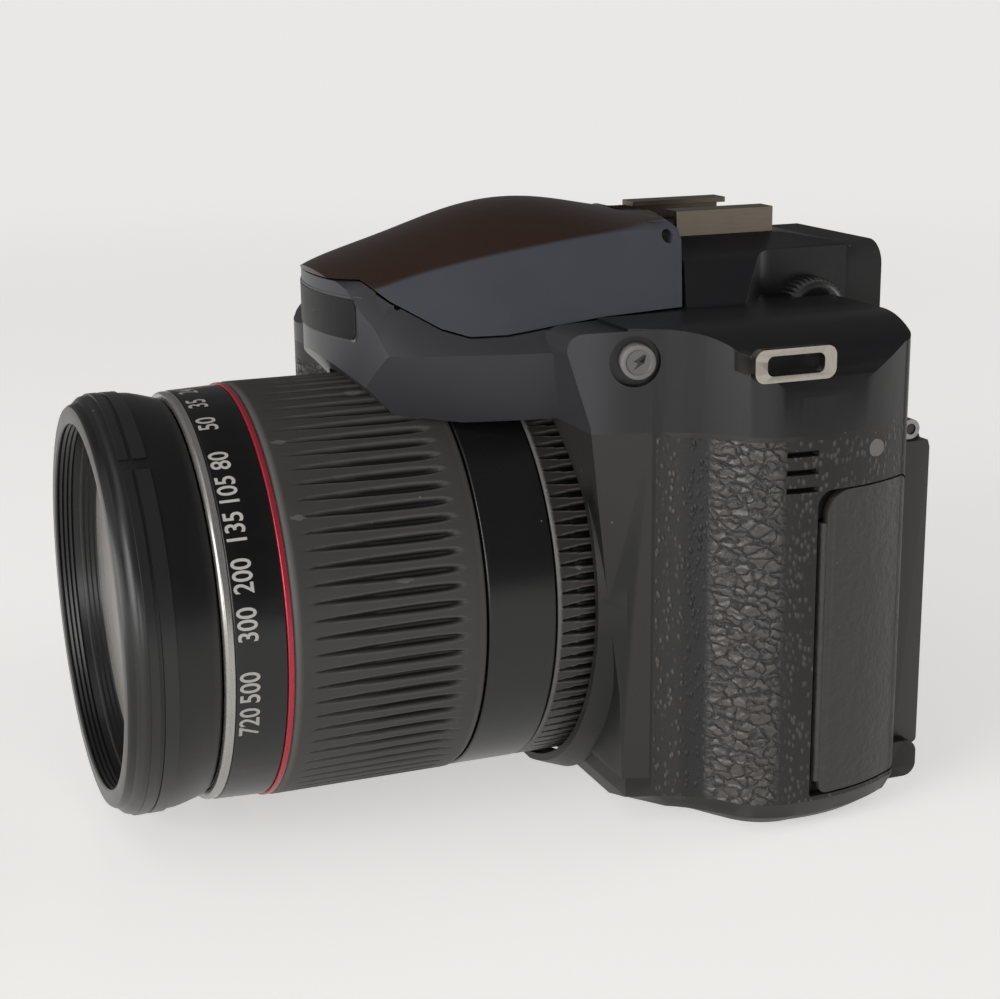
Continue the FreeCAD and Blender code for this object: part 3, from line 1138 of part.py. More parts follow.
nodes = """
front_cover rear_cover top_cover bottom_cover chassis side_leather grip_rubber hot_shoe hot_shoe_screws
strap_lugs tripod_socket main_board image_sensor eyecup eyepiece_lens viewfinder_display speaker
terminal_sockets battery battery_case memory_card card_slot flash_capacitor focus_lamp cover_screws
guide_tube badge_ring flash_hinge_pin zoom_ring zoom_rubber red_ring silver_ring middle_barrel zoom_lens
inner_barrel front_ring front_lens baffle_ring focus_ring flash_lid flash_reflector flash_window
shutter_button power_lever mode_dial command_dial diopter_wheel screen_bracket screen_frame screen_glass
battery_door card_door terminal_cover flash_button exposure_button burst_button record_button playback_button selector_pad ok_button
""".split()
for item in doc.Objects:
    if "Invalid" in item.State or "Error" in item.State:
        raise RuntimeError("%s is in a bad state: %s" % (item.Label, item.State))
for name in nodes:
    shape = doc.getObject(name).Shape
    if shape.isNull() or not shape.isValid():
        raise RuntimeError(name + " has no valid shape")
os.makedirs("parts", exist_ok=True)
for name in nodes:
    shape = doc.getObject(name).Shape
    print(name, len(shape.Solids), round(shape.Volume, 1))
    shape.exportStep("parts/%s.step" % name)
print(len(nodes), "nodes")
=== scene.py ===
# A long zoom camera with a raised flash head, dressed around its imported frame.
import json
import math

import bmesh
import bpy
from mathutils import Matrix, Vector
from mathutils.bvhtree import BVHTree


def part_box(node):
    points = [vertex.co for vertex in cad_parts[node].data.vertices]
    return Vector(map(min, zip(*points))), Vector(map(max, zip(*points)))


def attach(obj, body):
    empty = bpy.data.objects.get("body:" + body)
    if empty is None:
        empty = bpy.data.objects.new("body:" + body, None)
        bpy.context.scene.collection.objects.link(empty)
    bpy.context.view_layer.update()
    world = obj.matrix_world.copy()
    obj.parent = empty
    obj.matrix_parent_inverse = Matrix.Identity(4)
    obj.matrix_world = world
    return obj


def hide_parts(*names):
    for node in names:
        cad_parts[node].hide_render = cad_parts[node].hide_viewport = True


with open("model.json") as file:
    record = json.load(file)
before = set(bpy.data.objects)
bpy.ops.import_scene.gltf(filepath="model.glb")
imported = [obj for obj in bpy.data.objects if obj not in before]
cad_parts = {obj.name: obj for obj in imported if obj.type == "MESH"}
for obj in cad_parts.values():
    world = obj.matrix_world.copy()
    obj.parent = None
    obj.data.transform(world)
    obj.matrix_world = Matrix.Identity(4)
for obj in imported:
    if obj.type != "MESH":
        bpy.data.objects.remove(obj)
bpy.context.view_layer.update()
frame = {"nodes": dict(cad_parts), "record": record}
nodes = frame["nodes"]
mil = 0.001

# The lens axis's height and some stations along it, in mm ahead of the body's datum.
lens = {"axis": 35.6, "numberRear": 70.7, "numberFront": 78.5, "frontStart": 80.3}
# How near points lie that are merged, in metres: in the solids, and in rings made here.
weld = {"solid": 0.000003, "ring": 0.000002}
smooth = {"interpolation_type": "SMOOTHSTEP"}


def linear(code):
    channels = []
    for start in (1, 3, 5):
        value = int(code[start:start + 2], 16) / 255
        channels.append(value / 12.92 if value <= 0.04045 else ((value + 0.055) / 1.055) ** 2.4)
    return (*channels, 1.0)


# Adds a node with its settings. Inputs come by name, or in the node's own order: a plain value, a
# hex colour, a socket, or a node, of which the first output is taken.
def addNode(tree, kind, inputs=(), **settings):
    node = tree.nodes.new(kind if "Node" in kind else "ShaderNode" + kind)
    for name, value in settings.items():
        setattr(node, name, value)
    for name, value in inputs.items() if isinstance(inputs, dict) else enumerate(inputs):
        if isinstance(value, bpy.types.Node):
            value = value.outputs[0]
        if isinstance(value, bpy.types.NodeSocket):
            tree.links.new(value, node.inputs[name])
        else:
            node.inputs[name].default_value = linear(value) if isinstance(value, str) else value
    return node


def setRamp(node, stops):
    ramp = node.color_ramp
    while len(ramp.elements) > 1:
        ramp.elements.remove(ramp.elements[-1])
    for number, (position, level) in enumerate(stops):
        element = ramp.elements[0] if number == 0 else ramp.elements.new(position)
        element.position = position
        element.color = (level, level, level, 1.0)
    return node


def newMaterial(name):
    material = bpy.data.materials.new(name)
    material.use_nodes = True
    tree = material.node_tree
    tree.nodes.clear()
    return material, tree, addNode(tree, "TexCoord").outputs["Object"]


def finishMaterial(material, shader):
    addNode(material.node_tree, "OutputMaterial", (shader,))
    return material


# Edges painted paler by how sharply the surface turns: rubbed wear, and on the fluted rubber also a painted
# highlight.
def wornAndHighlitEdges(tree, tone, look):
    turn = addNode(tree, "NewGeometry").outputs["Pointiness"]
    soft, sharp = look["edge"]
    edges = setRamp(addNode(tree, "ValToRGB", (turn,)), [(soft, 0.0), (sharp, look["wear"])])
    return addNode(tree, "MixRGB", (edges, tone, look["wornAndHighlitTone"]))


def fromLensAxis(tree, place):
    across = addNode(tree, "VectorMath", (place, (1.0, 0.0, 1.0), (0.0, 0.0, -lens["axis"] * mil)),
                     operation="MULTIPLY_ADD")
    return addNode(tree, "VectorMath", (across,), operation="LENGTH").outputs["Value"]


# Moulded plastic and rubber: a fine eroded or moulded grain, slow changes of sheen from handling, paler edges
# that are rubbed and on the fluted rubber painted highlights, painted shade in flute floors, a front painted
# paler as if lit, and a few specks of dust. Grain, patches and the gaps between specks are in mm.
def mouldedMaterial(name, look):
    material, tree, place = newMaterial(name)
    grain = addNode(tree, "TexNoise", {
        "Vector": place, "Scale": 1000 / look["grain"], "Detail": 3.0, "Roughness": 0.6})
    patches = addNode(tree, "TexNoise", {
        "Vector": place, "Scale": 1000 / look["patch"], "Detail": 4.0, "Roughness": 0.55})
    dust = addNode(tree, "TexVoronoi", {"Vector": place, "Scale": 1000 / look["dustApart"]})
    inside, outside = look["dustSize"]
    specks = setRamp(addNode(tree, "ValToRGB", (dust,)),
                     [(0.0, look["dust"]), (inside, look["dust"]), (outside, 0.0)])
    tone = addNode(tree, "MixRGB", (patches, look["colour"], look["second"]))
    if "front" in look:
        # painted light: the housing's front is painted a paler satin as if lit, the shoulders behind it stay
        # a rubbed black
        depth = addNode(tree, "SeparateXYZ", (place,)).outputs["Y"]
        near, far = look["frontFrom"]
        ahead = addNode(tree, "MapRange", (depth, far * mil, near * mil), **smooth)
        tone = addNode(tree, "MixRGB", (ahead, tone, look["front"]))
    wornAndHighlitTone = wornAndHighlitEdges(tree, tone, look)
    if "sunk" in look:
        # painted shade: the flute floors darken towards the lens axis, the ridges keep their paler edges
        low, high = look["sunk"]
        crest = addNode(tree, "MapRange", (fromLensAxis(tree, place), low * mil, high * mil), **smooth)
        wornAndHighlitTone = addNode(tree, "MixRGB", (crest, look["deep"], wornAndHighlitTone))
    dusty = addNode(tree, "MixRGB", (specks, wornAndHighlitTone, look["dustTone"]))
    sheen = addNode(tree, "MapRange", (patches, 0.3, 0.7, look["rough"] - look["spread"],
                                       look["rough"] + look["spread"]))
    bump = addNode(tree, "Bump", {
        "Height": grain, "Strength": look["relief"], "Distance": look["grain"] * mil * 0.3})
    shader = addNode(tree, "BsdfPrincipled", {
        "Base Color": dusty, "Roughness": sheen, "Normal": bump, "IOR": look["ior"],
        "Coat Weight": look["coat"], "Coat Roughness": look["coatRough"],
        "Specular IOR Level": look["specular"]})
    return finishMaterial(material, shader)


mouldedUsual = {
    "spread": 0.05, "grain": 0.4, "patch": 20, "relief": 0.12, "wear": 0.3, "wornAndHighlitTone": "#6a6866",
    "edge": (0.515, 0.56), "dust": 0.5, "dustApart": 5.0, "dustSize": (0.022, 0.032), "dustTone": "#b9b4ad",
    "ior": 1.5, "coat": 0.0, "coatRough": 0.1, "specular": 0.5,
}
mouldedLooks = {
    # ABS with a fine spark-eroded grain: dull black with soft highlights
    "sparkErodedAbs": {
        "colour": "#101011", "second": "#191817", "rough": 0.44, "spread": 0.07, "grain": 0.35, "patch": 26,
        "relief": 0.25, "wear": 0.25, "wornAndHighlitTone": "#55524f", "dust": 0.35, "specular": 0.42},
    # the same ABS polished by handling on the shoulder and top: softer and glossier, its front painted paler
    # as if lit
    "satinAbs": {
        "colour": "#111114", "second": "#17171b", "rough": 0.36, "patch": 30, "wear": 0.12, "wornAndHighlitTone": "#4a4846",
        "dust": 0.25, "specular": 0.42, "front": "#3c3c40", "frontFrom": (-24, -17)},
    # glossy polycarbonate: deep black with sharp reflections
    "polishedPolycarbonate": {
        "colour": "#050506", "second": "#0a0a0b", "rough": 0.27, "spread": 0.04, "grain": 0.8, "patch": 24,
        "relief": 0.03, "wear": 0.12, "wornAndHighlitTone": "#4a4a4a", "dust": 0.4, "specular": 0.55},
    # moulded lens barrel plastic: satin black, turned look
    "barrelPolycarbonate": {
        "colour": "#121213", "second": "#1b1a1a", "rough": 0.34, "grain": 0.3, "patch": 18, "wear": 0.35,
        "wornAndHighlitTone": "#6b6967", "dust": 0.45},
    # silicone rubber with moulded flutes: dry dark grey with dust in it
    # painted shade in the flutes, and a painted highlight on the ridges' worn edges
    "flutedRubber": {
        "colour": "#3d3b39", "second": "#484643", "sunk": (32.75, 33.45), "deep": "#0e0d0d", "rough": 0.54,
        "grain": 0.3, "patch": 22, "relief": 0.25, "wear": 0.45, "wornAndHighlitTone": "#837f7a"},
    # the raised bands of the front ring: the barrel's plastic, evenly satin
    "bandPolycarbonate": {
        "colour": "#222223", "second": "#2c2b2b", "rough": 0.34, "grain": 0.3, "patch": 18, "wear": 0.0,
        "dust": 0.45},
    # the bare panel on the nose: black acrylic lacquer, softly matted
    "mattedPanelLacquer": {
        "colour": "#08080a", "second": "#0e0e10", "rough": 0.46, "spread": 0.04, "grain": 0.5, "patch": 16,
        "relief": 0.05, "wear": 0.0, "dust": 0.3, "specular": 0.35},
    # the focus ring's plastic: painted shade on the slot floors between rubbed ribs
    "rubbedBarrelPlastic": {
        "colour": "#2a2928", "second": "#353331", "sunk": (32.6, 33.3), "deep": "#060606", "rough": 0.36,
        "grain": 0.3, "patch": 18, "wear": 0.6, "wornAndHighlitTone": "#8a8784", "dust": 0.4},
    # soft eyecup rubber: matte, nearly black
    "eyecupRubber": {
        "colour": "#0d0d0e", "second": "#161516", "rough": 0.72, "patch": 15, "relief": 0.3, "wear": 0.15,
        "dust": 0.4},
    # soft-touch door in the side: paler and smoother than the leather
    "softTouchDoor": {
        "colour": "#34312f", "second": "#45423f", "rough": 0.5, "spread": 0.06, "grain": 1.6, "patch": 9,
        "relief": 0.7, "wornAndHighlitTone": "#625e5a", "dustApart": 3.4},
    # grey satin buttons
    "satinButtonAbs": {
        "colour": "#5e5d5d", "second": "#706e6d", "rough": 0.42, "patch": 8, "wornAndHighlitTone": "#b5b2ae", "dust": 0.2},
    # dark button caps at the back
    "darkButtonAbs": {
        "colour": "#262627", "second": "#303030", "rough": 0.4, "patch": 8, "relief": 0.1, "dust": 0.2},
    # pad-printed ink: flat warm white
    "printedInk": {
        "colour": "#c4c0ba", "second": "#d2cfca", "rough": 0.5, "spread": 0.03, "grain": 0.3, "patch": 6,
        "relief": 0.05, "wear": 0.0, "dust": 0.0},
    # plain moulded plastic inside the body
    "innerPolyamide": {
        "colour": "#232324", "second": "#2d2d2e", "rough": 0.5, "grain": 0.5, "relief": 0.15, "wear": 0.1},
    # battery wrap: grey moulded case
    "batteryCase": {
        "colour": "#44474b", "second": "#4f5256", "rough": 0.4, "grain": 0.5, "relief": 0.1, "wear": 0.2},
    # solder-masked glass fibre board: glossy green, copper at the edges
    "solderMask": {
        "colour": "#173f2a", "second": "#1f5035", "rough": 0.3, "spread": 0.06, "grain": 1.2, "patch": 6,
        "relief": 0.2, "wornAndHighlitTone": "#b08d3c"},
    # amber acrylic lamp lens: glossy and deep
    "amberAcrylic": {
        "colour": "#6e2f14", "second": "#86401d", "rough": 0.15, "spread": 0.03, "grain": 0.8, "patch": 5,
        "relief": 0.05, "wear": 0.0, "coat": 0.6, "coatRough": 0.05},
}


# Bare and anodised metal: drawn or turned lines along one axis, with a slow change of sheen.
def metalMaterial(name, look):
    material, tree, place = newMaterial(name)
    stretched = addNode(tree, "Mapping", {"Vector": place, "Scale": look["stretch"]})
    lines = addNode(tree, "TexNoise", {"Vector": stretched, "Scale": 1000 / look["line"], "Detail": 4.0})
    patches = addNode(tree, "TexNoise", {"Vector": place, "Scale": 90.0, "Detail": 5.0})
    tone = addNode(tree, "MixRGB", (patches, look["colour"], look["second"]))
    sheen = addNode(tree, "MapRange", (lines, 0.3, 0.7, look["rough"] - 0.06, look["rough"] + 0.08))
    bump = addNode(tree, "Bump", {"Height": lines, "Strength": look["relief"], "Distance": 0.00003})
    shader = addNode(tree, "BsdfPrincipled", {
        "Base Color": wornAndHighlitEdges(tree, tone, look), "Metallic": look["metal"], "Roughness": sheen,
        "Normal": bump})
    return finishMaterial(material, shader)


metalUsual = {"metal": 1.0, "line": 1.0, "stretch": (1.0, 1.0, 1.0), "relief": 0.15, "wear": 0.6,
              "wornAndHighlitTone": "#d8d2c8", "edge": (0.51, 0.55)}
metalLooks = {
    # red anodised aluminium: bright satin with turned lines round the ring
    "redAnodisedAluminium": {
        "colour": "#c52c40", "second": "#a42034", "rough": 0.28, "metal": 0.45, "stretch": (0.3, 6.0, 0.3),
        "wear": 0.2, "wornAndHighlitTone": "#e0707c"},
    # bare turned aluminium on the ring's bevel
    "turnedAluminium": {
        "colour": "#b6b4b1", "second": "#a09f9d", "rough": 0.25, "metal": 0.7, "stretch": (0.3, 6.0, 0.3),
        "wear": 0.2},
    # pressed steel of the accessory shoe: worn brown-grey with bright rubbed edges
    "pressedShoeSteel": {
        "colour": "#574d46", "second": "#3e3732", "rough": 0.38, "line": 1.2, "stretch": (4.0, 0.4, 4.0),
        "relief": 0.2, "wornAndHighlitTone": "#9c9184"},
    # polished steel lugs and sockets: sharp warm reflections
    "polishedSteel": {"colour": "#746f68", "second": "#4a453f", "rough": 0.18, "line": 0.8},
    # pressed chassis sheet
    "chassisSteel": {
        "colour": "#8b8c8e", "second": "#76777a", "rough": 0.35, "line": 1.4, "stretch": (0.4, 4.0, 4.0),
        "relief": 0.2, "wear": 0.3},
    # blackened screw steel
    "blackenedSteel": {
        "colour": "#3b3a3a", "second": "#2c2b2b", "rough": 0.35, "line": 0.7, "wornAndHighlitTone": "#9a9794"},
    # dark anodised dials with knurled rims
    "darkAnodisedAluminium": {
        "colour": "#2b2b2d", "second": "#1f1f21", "rough": 0.36, "line": 0.8, "stretch": (1.0, 1.0, 5.0),
        "wear": 0.5, "wornAndHighlitTone": "#8a8886"},
    # bright flash reflector
    "brightReflector": {
        "colour": "#dedede", "second": "#cfcfcf", "rough": 0.12, "relief": 0.05, "wear": 0.0},
}


# Leather-grained skin: a raised band of lumps and creases, small shiny pebbles on the rest, painted
# highlights on the tops of both, and painted shade in the hollow ahead of the band. Distances are along the
# body's depth, in mm.
def leatherMaterial(name, look):
    material, tree, place = newMaterial(name)
    depth = addNode(tree, "SeparateXYZ", (place,)).outputs["Y"]

    def between(start, full, after, end):
        rise = addNode(tree, "MapRange", (depth, start * mil, full * mil), **smooth)
        fall = addNode(tree, "MapRange", (depth, end * mil, after * mil), **smooth)
        return addNode(tree, "Math", (rise, fall), operation="MULTIPLY")

    # waves across the band, broken up by lumps that lie the same way with narrow creases between them
    folds = addNode(tree, "TexWave", {
        "Vector": place, "Scale": 314 / look["fold"], "Distortion": 8.0, "Detail": 2.0, "Detail Scale": 1.8,
        "Detail Roughness": 0.5}, wave_type="BANDS", bands_direction="Z")
    bend = addNode(tree, "TexNoise", {"Vector": place, "Scale": 700.0, "Detail": 3.0})
    bent = addNode(tree, "VectorMath", (bend.outputs["Color"], (look["sway"] * mil,) * 3, place),
                   operation="MULTIPLY_ADD")
    lying = addNode(tree, "Mapping", {"Vector": bent, "Scale": (0.6, 0.6, 1.0)})
    cracks = addNode(tree, "TexVoronoi", {"Vector": lying, "Scale": 1000 / look["crack"]},
                     feature="DISTANCE_TO_EDGE")
    lumps = addNode(tree, "MapRange", (cracks, 0.0, 0.16), **smooth)
    wrinkled = addNode(tree, "Mix", {"Factor": 0.6, "A": folds.outputs["Fac"], "B": lumps})
    stretched = addNode(tree, "Mapping", {"Vector": place, "Scale": (1.0, 1.0, 0.55)})
    pebbles = addNode(tree, "TexVoronoi", {"Vector": stretched, "Scale": 1000 / look["pebble"]})
    crowns = addNode(tree, "MapRange", (pebbles, 0.5, 0.15), **smooth)
    picked = addNode(tree, "SeparateColor", (pebbles.outputs["Color"],))
    some = addNode(tree, "MapRange", (picked, 0.1, 0.75), **smooth)
    domes = addNode(tree, "Math", (crowns, some), operation="MULTIPLY")
    band = between(*look["band"])
    hollow = between(*look["hollow"])
    lowDomes = addNode(tree, "Math", (domes, 0.4), operation="MULTIPLY")
    glints = addNode(tree, "Math", (domes, 0.8), operation="MULTIPLY")
    paleness = addNode(tree, "Mix", {"Factor": band, "A": glints, "B": wrinkled})
    relief = addNode(tree, "Mix", {"Factor": band, "A": lowDomes, "B": wrinkled})
    fine = addNode(tree, "TexNoise", {"Vector": place, "Scale": 2500.0, "Detail": 3.0})
    height = addNode(tree, "Math", (fine, 0.15, relief), operation="MULTIPLY_ADD")
    bump = addNode(tree, "Bump", {
        "Height": height, "Strength": look["relief"], "Distance": look["depth"] * mil})
    patches = addNode(tree, "TexNoise", {"Vector": place, "Scale": 55.0, "Detail": 4.0})
    tone = addNode(tree, "MixRGB", (patches, look["colour"], look["second"]))
    # painted highlights: the tops of the pebbles and of the band's lumps are painted paler, the creases stay
    # dark
    tops = addNode(tree, "Math", (paleness, look["paleTops"]), operation="MULTIPLY", use_clamp=True)
    lifted = addNode(tree, "MixRGB", (tops, tone, look["tops"]))
    # painted shade: the hollow ahead of the band is painted dark
    shaded = addNode(tree, "MixRGB", (hollow, lifted, look["deep"]))
    rough = addNode(tree, "MapRange", (relief, 0.0, 1.0, look["rough"] + 0.1, look["rough"] - 0.12))
    return finishMaterial(material, addNode(tree, "BsdfPrincipled", {
        "Base Color": shaded, "Roughness": rough, "Normal": bump}))


leatherLooks = {
    # wrinkled leather-grain skin on the side, with painted highlights on its tops and painted shade in the
    # hollow
    "wrinkledSkin": {
        "colour": "#1c1a1a", "second": "#262424", "tops": "#5c5753", "deep": "#0d0c0d", "paleTops": 0.9,
        "fold": 1.7, "crack": 1.5, "sway": 1.6, "pebble": 0.75, "depth": 0.45, "relief": 0.8, "rough": 0.42,
        "band": (-6.6, -5.4, 2.0, 3.6), "hollow": (-10.4, -8.6, -6.8, -6.0)},
    # the grip's skin: the same leather grain, wrinkled all over, with painted highlights on its tops
    "gripSkin": {
        "colour": "#201e1e", "second": "#2b2928", "tops": "#4a4643", "deep": "#121112", "paleTops": 0.5,
        "fold": 2.0, "crack": 1.8, "sway": 1.9, "pebble": 0.75, "depth": 0.5, "relief": 0.85, "rough": 0.46,
        "band": (-60, -55, 60, 70), "hollow": (80, 81, 82, 83)},
}


# The flash head, with painted light: a glossy brown painted highlight above the soft crease, and the sides
# below it painted a lit satin blue-grey. The crease is a line of heights along the body's depth, in mm.
def headMaterial(name, look):
    material, tree, place = newMaterial(name)
    parts = addNode(tree, "SeparateXYZ", (place,))
    (startY, startZ), (endY, endZ) = look["crease"][0], look["crease"][-1]
    run = addNode(tree, "MapRange", (parts.outputs["Y"], startY * mil, endY * mil))
    line = addNode(tree, "FloatCurve", {"Value": run})
    for y, z in look["crease"][1:-1]:
        line.mapping.curves[0].points.new((y - startY) / (endY - startY), (z - startZ) / (endZ - startZ))
    line.mapping.update()
    crease = addNode(tree, "MapRange", (line, 0.0, 1.0, startZ * mil, endZ * mil))
    above = addNode(tree, "Math", (parts.outputs["Z"], crease), operation="SUBTRACT")
    # painted light: above the crease the brown painted highlight, below it the lit blue-grey side tone
    top = addNode(tree, "MapRange", (above, -look["soft"] * mil, look["soft"] * mil), **smooth)
    smear = addNode(tree, "TexNoise", {"Vector": place, "Scale": 45.0, "Detail": 4.0})
    side = addNode(tree, "MixRGB", (smear, look["side"], look["sideSecond"]))
    colour = addNode(tree, "MixRGB", (top, side, look["top"]))
    rough = addNode(tree, "MapRange", (top, 0.0, 1.0, look["sideRough"], look["topRough"]))
    grain = addNode(tree, "TexNoise", {"Vector": place, "Scale": 4000.0, "Detail": 2.0})
    bump = addNode(tree, "Bump", {"Height": grain, "Strength": 0.1, "Distance": 0.00005})
    return finishMaterial(material, addNode(tree, "BsdfPrincipled", {
        "Base Color": colour, "Roughness": rough, "Normal": bump, "Coat Weight": look["coat"],
        "Coat Roughness": 0.15}))


headLooks = {
    # polyurethane paint on the moulded head, its top and sides painted in two lit tones
    "paintedFlashHead": {
        "top": "#33221a", "side": "#565860", "sideSecond": "#43454c", "topRough": 0.3, "sideRough": 0.42,
        "coat": 0.0, "soft": 0.35,
        "crease": [(-56.0, 82.6), (-49.4, 85.0), (-35.8, 88.2), (-21.7, 90.4), (-6.4, 92.1), (2.0, 92.9)]},
}


# Glass: clear, or coated, with a painted reflection: its colour turns pale where it is seen at a slant, as
# the room would mirror more strongly there. The zone is how far from the lens axis the dark middle ends, in
# mm.
def glassMaterial(name, look):
    material, tree, place = newMaterial(name)
    smear = addNode(tree, "TexNoise", {"Vector": place, "Scale": 70.0, "Detail": 4.0})
    slant = addNode(tree, "LayerWeight", {"Blend": 0.5}).outputs["Facing"]
    rim = addNode(tree, "MapRange", (slant, *look["paintedReflectionAt"]), **smooth)
    near, far = look["zone"]
    zones = addNode(tree, "MapRange", (fromLensAxis(tree, place), near * mil, far * mil), **smooth)
    deep = addNode(tree, "MixRGB", (zones, look["middle"], look["colour"]))
    colour = addNode(tree, "MixRGB", (rim, deep, look["rim"]))
    rough = addNode(tree, "MapRange", (smear, 0.0, 1.0, look["rough"], look["rough"] + 0.05))
    return finishMaterial(material, addNode(tree, "BsdfPrincipled", {
        "Base Color": colour, "Roughness": rough, "IOR": look["ior"], "Transmission Weight": look["clear"],
        "Coat Weight": look["coat"], "Coat Roughness": 0.03, "Specular IOR Level": look["specular"]}))


glassUsual = {"zone": (10.0, 20.0), "paintedReflectionAt": (0.5, 1.0), "ior": 1.5, "clear": 0.0, "coat": 0.0,
              "specular": 0.5}
glassLooks = {
    # coated front element: a dark deep glass, with the pale surroundings it mirrors painted into its colour
    "coatedGlass": {
        "colour": "#1c1e24", "middle": "#07080c", "zone": (12.0, 23.0), "rim": "#dcd7d2",
        "paintedReflectionAt": (0.36, 0.74), "rough": 0.03, "ior": 1.7, "coat": 0.3, "specular": 0.6},
    # clear window glass
    "clearGlass": {"colour": "#dfe4e4", "middle": "#dfe4e4", "rim": "#ffffff", "rough": 0.01, "clear": 0.9},
    # switched-off display behind glass
    "displayGlass": {"colour": "#0b0c0f", "middle": "#0b0c0f", "rim": "#2a2c31", "rough": 0.05, "coat": 1.0},
}

finishes = {}
for make, looks, usual in (
        (mouldedMaterial, mouldedLooks, mouldedUsual), (metalMaterial, metalLooks, metalUsual),
        (leatherMaterial, leatherLooks, {}), (headMaterial, headLooks, {}),
        (glassMaterial, glassLooks, glassUsual)):
    for name, look in looks.items():
        finishes[name] = make(name, {**usual, **look})
print("materials made", len(finishes))

# Which finish each of the record's material slots wears.
slotFinish = {
    "cover_black": "sparkErodedAbs", "hump_black": "paintedFlashHead",
    "gloss_black": "polishedPolycarbonate", "barrel_plastic": "barrelPolycarbonate",
    "inner_plastic": "innerPolyamide", "door_plastic": "softTouchDoor", "button_grey": "darkButtonAbs",
    "lamp_plastic": "amberAcrylic", "speaker_black": "innerPolyamide", "battery_case_grey": "batteryCase",
    "board_green": "solderMask", "leather_skin": "wrinkledSkin", "grip_skin": "gripSkin",
    "lens_rubber": "flutedRubber", "eyecup_rubber": "eyecupRubber", "shoe_metal": "pressedShoeSteel",
    "lug_steel": "polishedSteel", "chassis_steel": "chassisSteel", "screw_steel": "blackenedSteel",
    "red_metal": "redAnodisedAluminium", "silver_metal": "turnedAluminium",
    "dial_metal": "darkAnodisedAluminium", "reflector_chrome": "brightReflector", "clear_glass": "clearGlass",
    "coated_glass": "coatedGlass", "sensor_glass": "displayGlass", "screen_face": "displayGlass",
}
nodeSlot = {part["node"]: part["material_slot"] for part in frame["record"]["subparts"]}
bodies = frame["record"]["behaviour"]["bodies"]
nodeBody = {name: body for body, names in bodies.items() for name in names}
for name, piece in nodes.items():
    piece.data.materials.clear()
    piece.data.materials.append(finishes[slotFinish[nodeSlot[name]]])


def newPiece(label, data):
    piece = bpy.data.objects.new(label, data)
    bpy.context.scene.collection.objects.link(piece)
    return piece


def shade(piece, turn=32):
    piece.data.shade_smooth()
    piece.data.set_sharp_from_angle(angle=math.radians(turn))
    return piece


# The shown form of an object with its modifiers, as one plain mesh.
def plainMesh(piece):
    return bpy.data.meshes.new_from_object(piece.evaluated_get(bpy.context.evaluated_depsgraph_get()))


def settle(piece):
    mesh = plainMesh(piece)
    piece.modifiers.clear()
    piece.data = mesh


# A piece from a finished bmesh, moved by the matrix it is given.
def meshPiece(label, work, finish, place=None, outwards=True):
    if outwards:
        bmesh.ops.recalc_face_normals(work, faces=work.faces)
    mesh = bpy.data.meshes.new(label)
    work.to_mesh(mesh)
    work.free()
    mesh.materials.append(finishes[finish])
    if place:
        mesh.transform(place)
    return newPiece(label, mesh)


# Puts a piece on a node's body, and in place of the nodes it replaces.
def wear(piece, name, *replaced):
    if replaced:
        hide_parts(*replaced)
    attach(piece, nodeBody[name])
    return piece


# A node's loose triangles merged into one mesh with softened edges, in a finish of its own if given.
def softened(name, edge=0.25, finish=None, turn=32):
    work = bmesh.new()
    work.from_mesh(nodes[name].data)
    bmesh.ops.remove_doubles(work, verts=work.verts, dist=weld["solid"])
    bmesh.ops.dissolve_limit(work, angle_limit=math.radians(0.4), verts=work.verts, edges=work.edges)
    piece = meshPiece(name + "Shown", work, finish or slotFinish[nodeSlot[name]], outwards=False)
    shade(piece, turn)
    bevel = piece.modifiers.new("edge", "BEVEL")
    bevel.width = edge * mil
    bevel.segments = 2
    bevel.limit_method = "ANGLE"
    bevel.angle_limit = math.radians(turn)
    bevel.harden_normals = True
    evened = piece.modifiers.new("evened", "WEIGHTED_NORMAL")
    evened.keep_sharp = True
    settle(piece)
    return wear(piece, name, name)


# Edge rounds in mm for the pieces that are shown as the solids have them.
edgeRounds = {
    "front_cover": 0.35, "rear_cover": 0.4, "top_cover": 0.35, "bottom_cover": 0.5, "side_leather": 0.4,
    "grip_rubber": 0.4, "hot_shoe": 0.2, "strap_lugs": 0.5, "tripod_socket": 0.3, "eyecup": 1.2,
    "badge_ring": 0.35, "zoom_ring": 0.25, "red_ring": 0.2, "silver_ring": 0.2, "inner_barrel": 0.2,
    "flash_lid": 0.45, "shutter_button": 0.5, "power_lever": 0.4, "screen_bracket": 0.15, "screen_frame": 0.4,
    "battery_door": 0.3, "card_door": 0.4, "terminal_cover": 0.6, "exposure_button": 0.3,
    "burst_button": 0.3, "record_button": 0.3, "playback_button": 0.3, "selector_pad": 0.5, "ok_button": 0.4,
    "guide_tube": 0.2,
}
ownFinish = {"top_cover": "satinAbs", "battery_door": "sparkErodedAbs",
             "shutter_button": "turnedAluminium", "power_lever": "satinAbs"}
for name, edge in edgeRounds.items():
    softened(name, edge, ownFinish.get(name))
print("solids softened", len(edgeRounds))


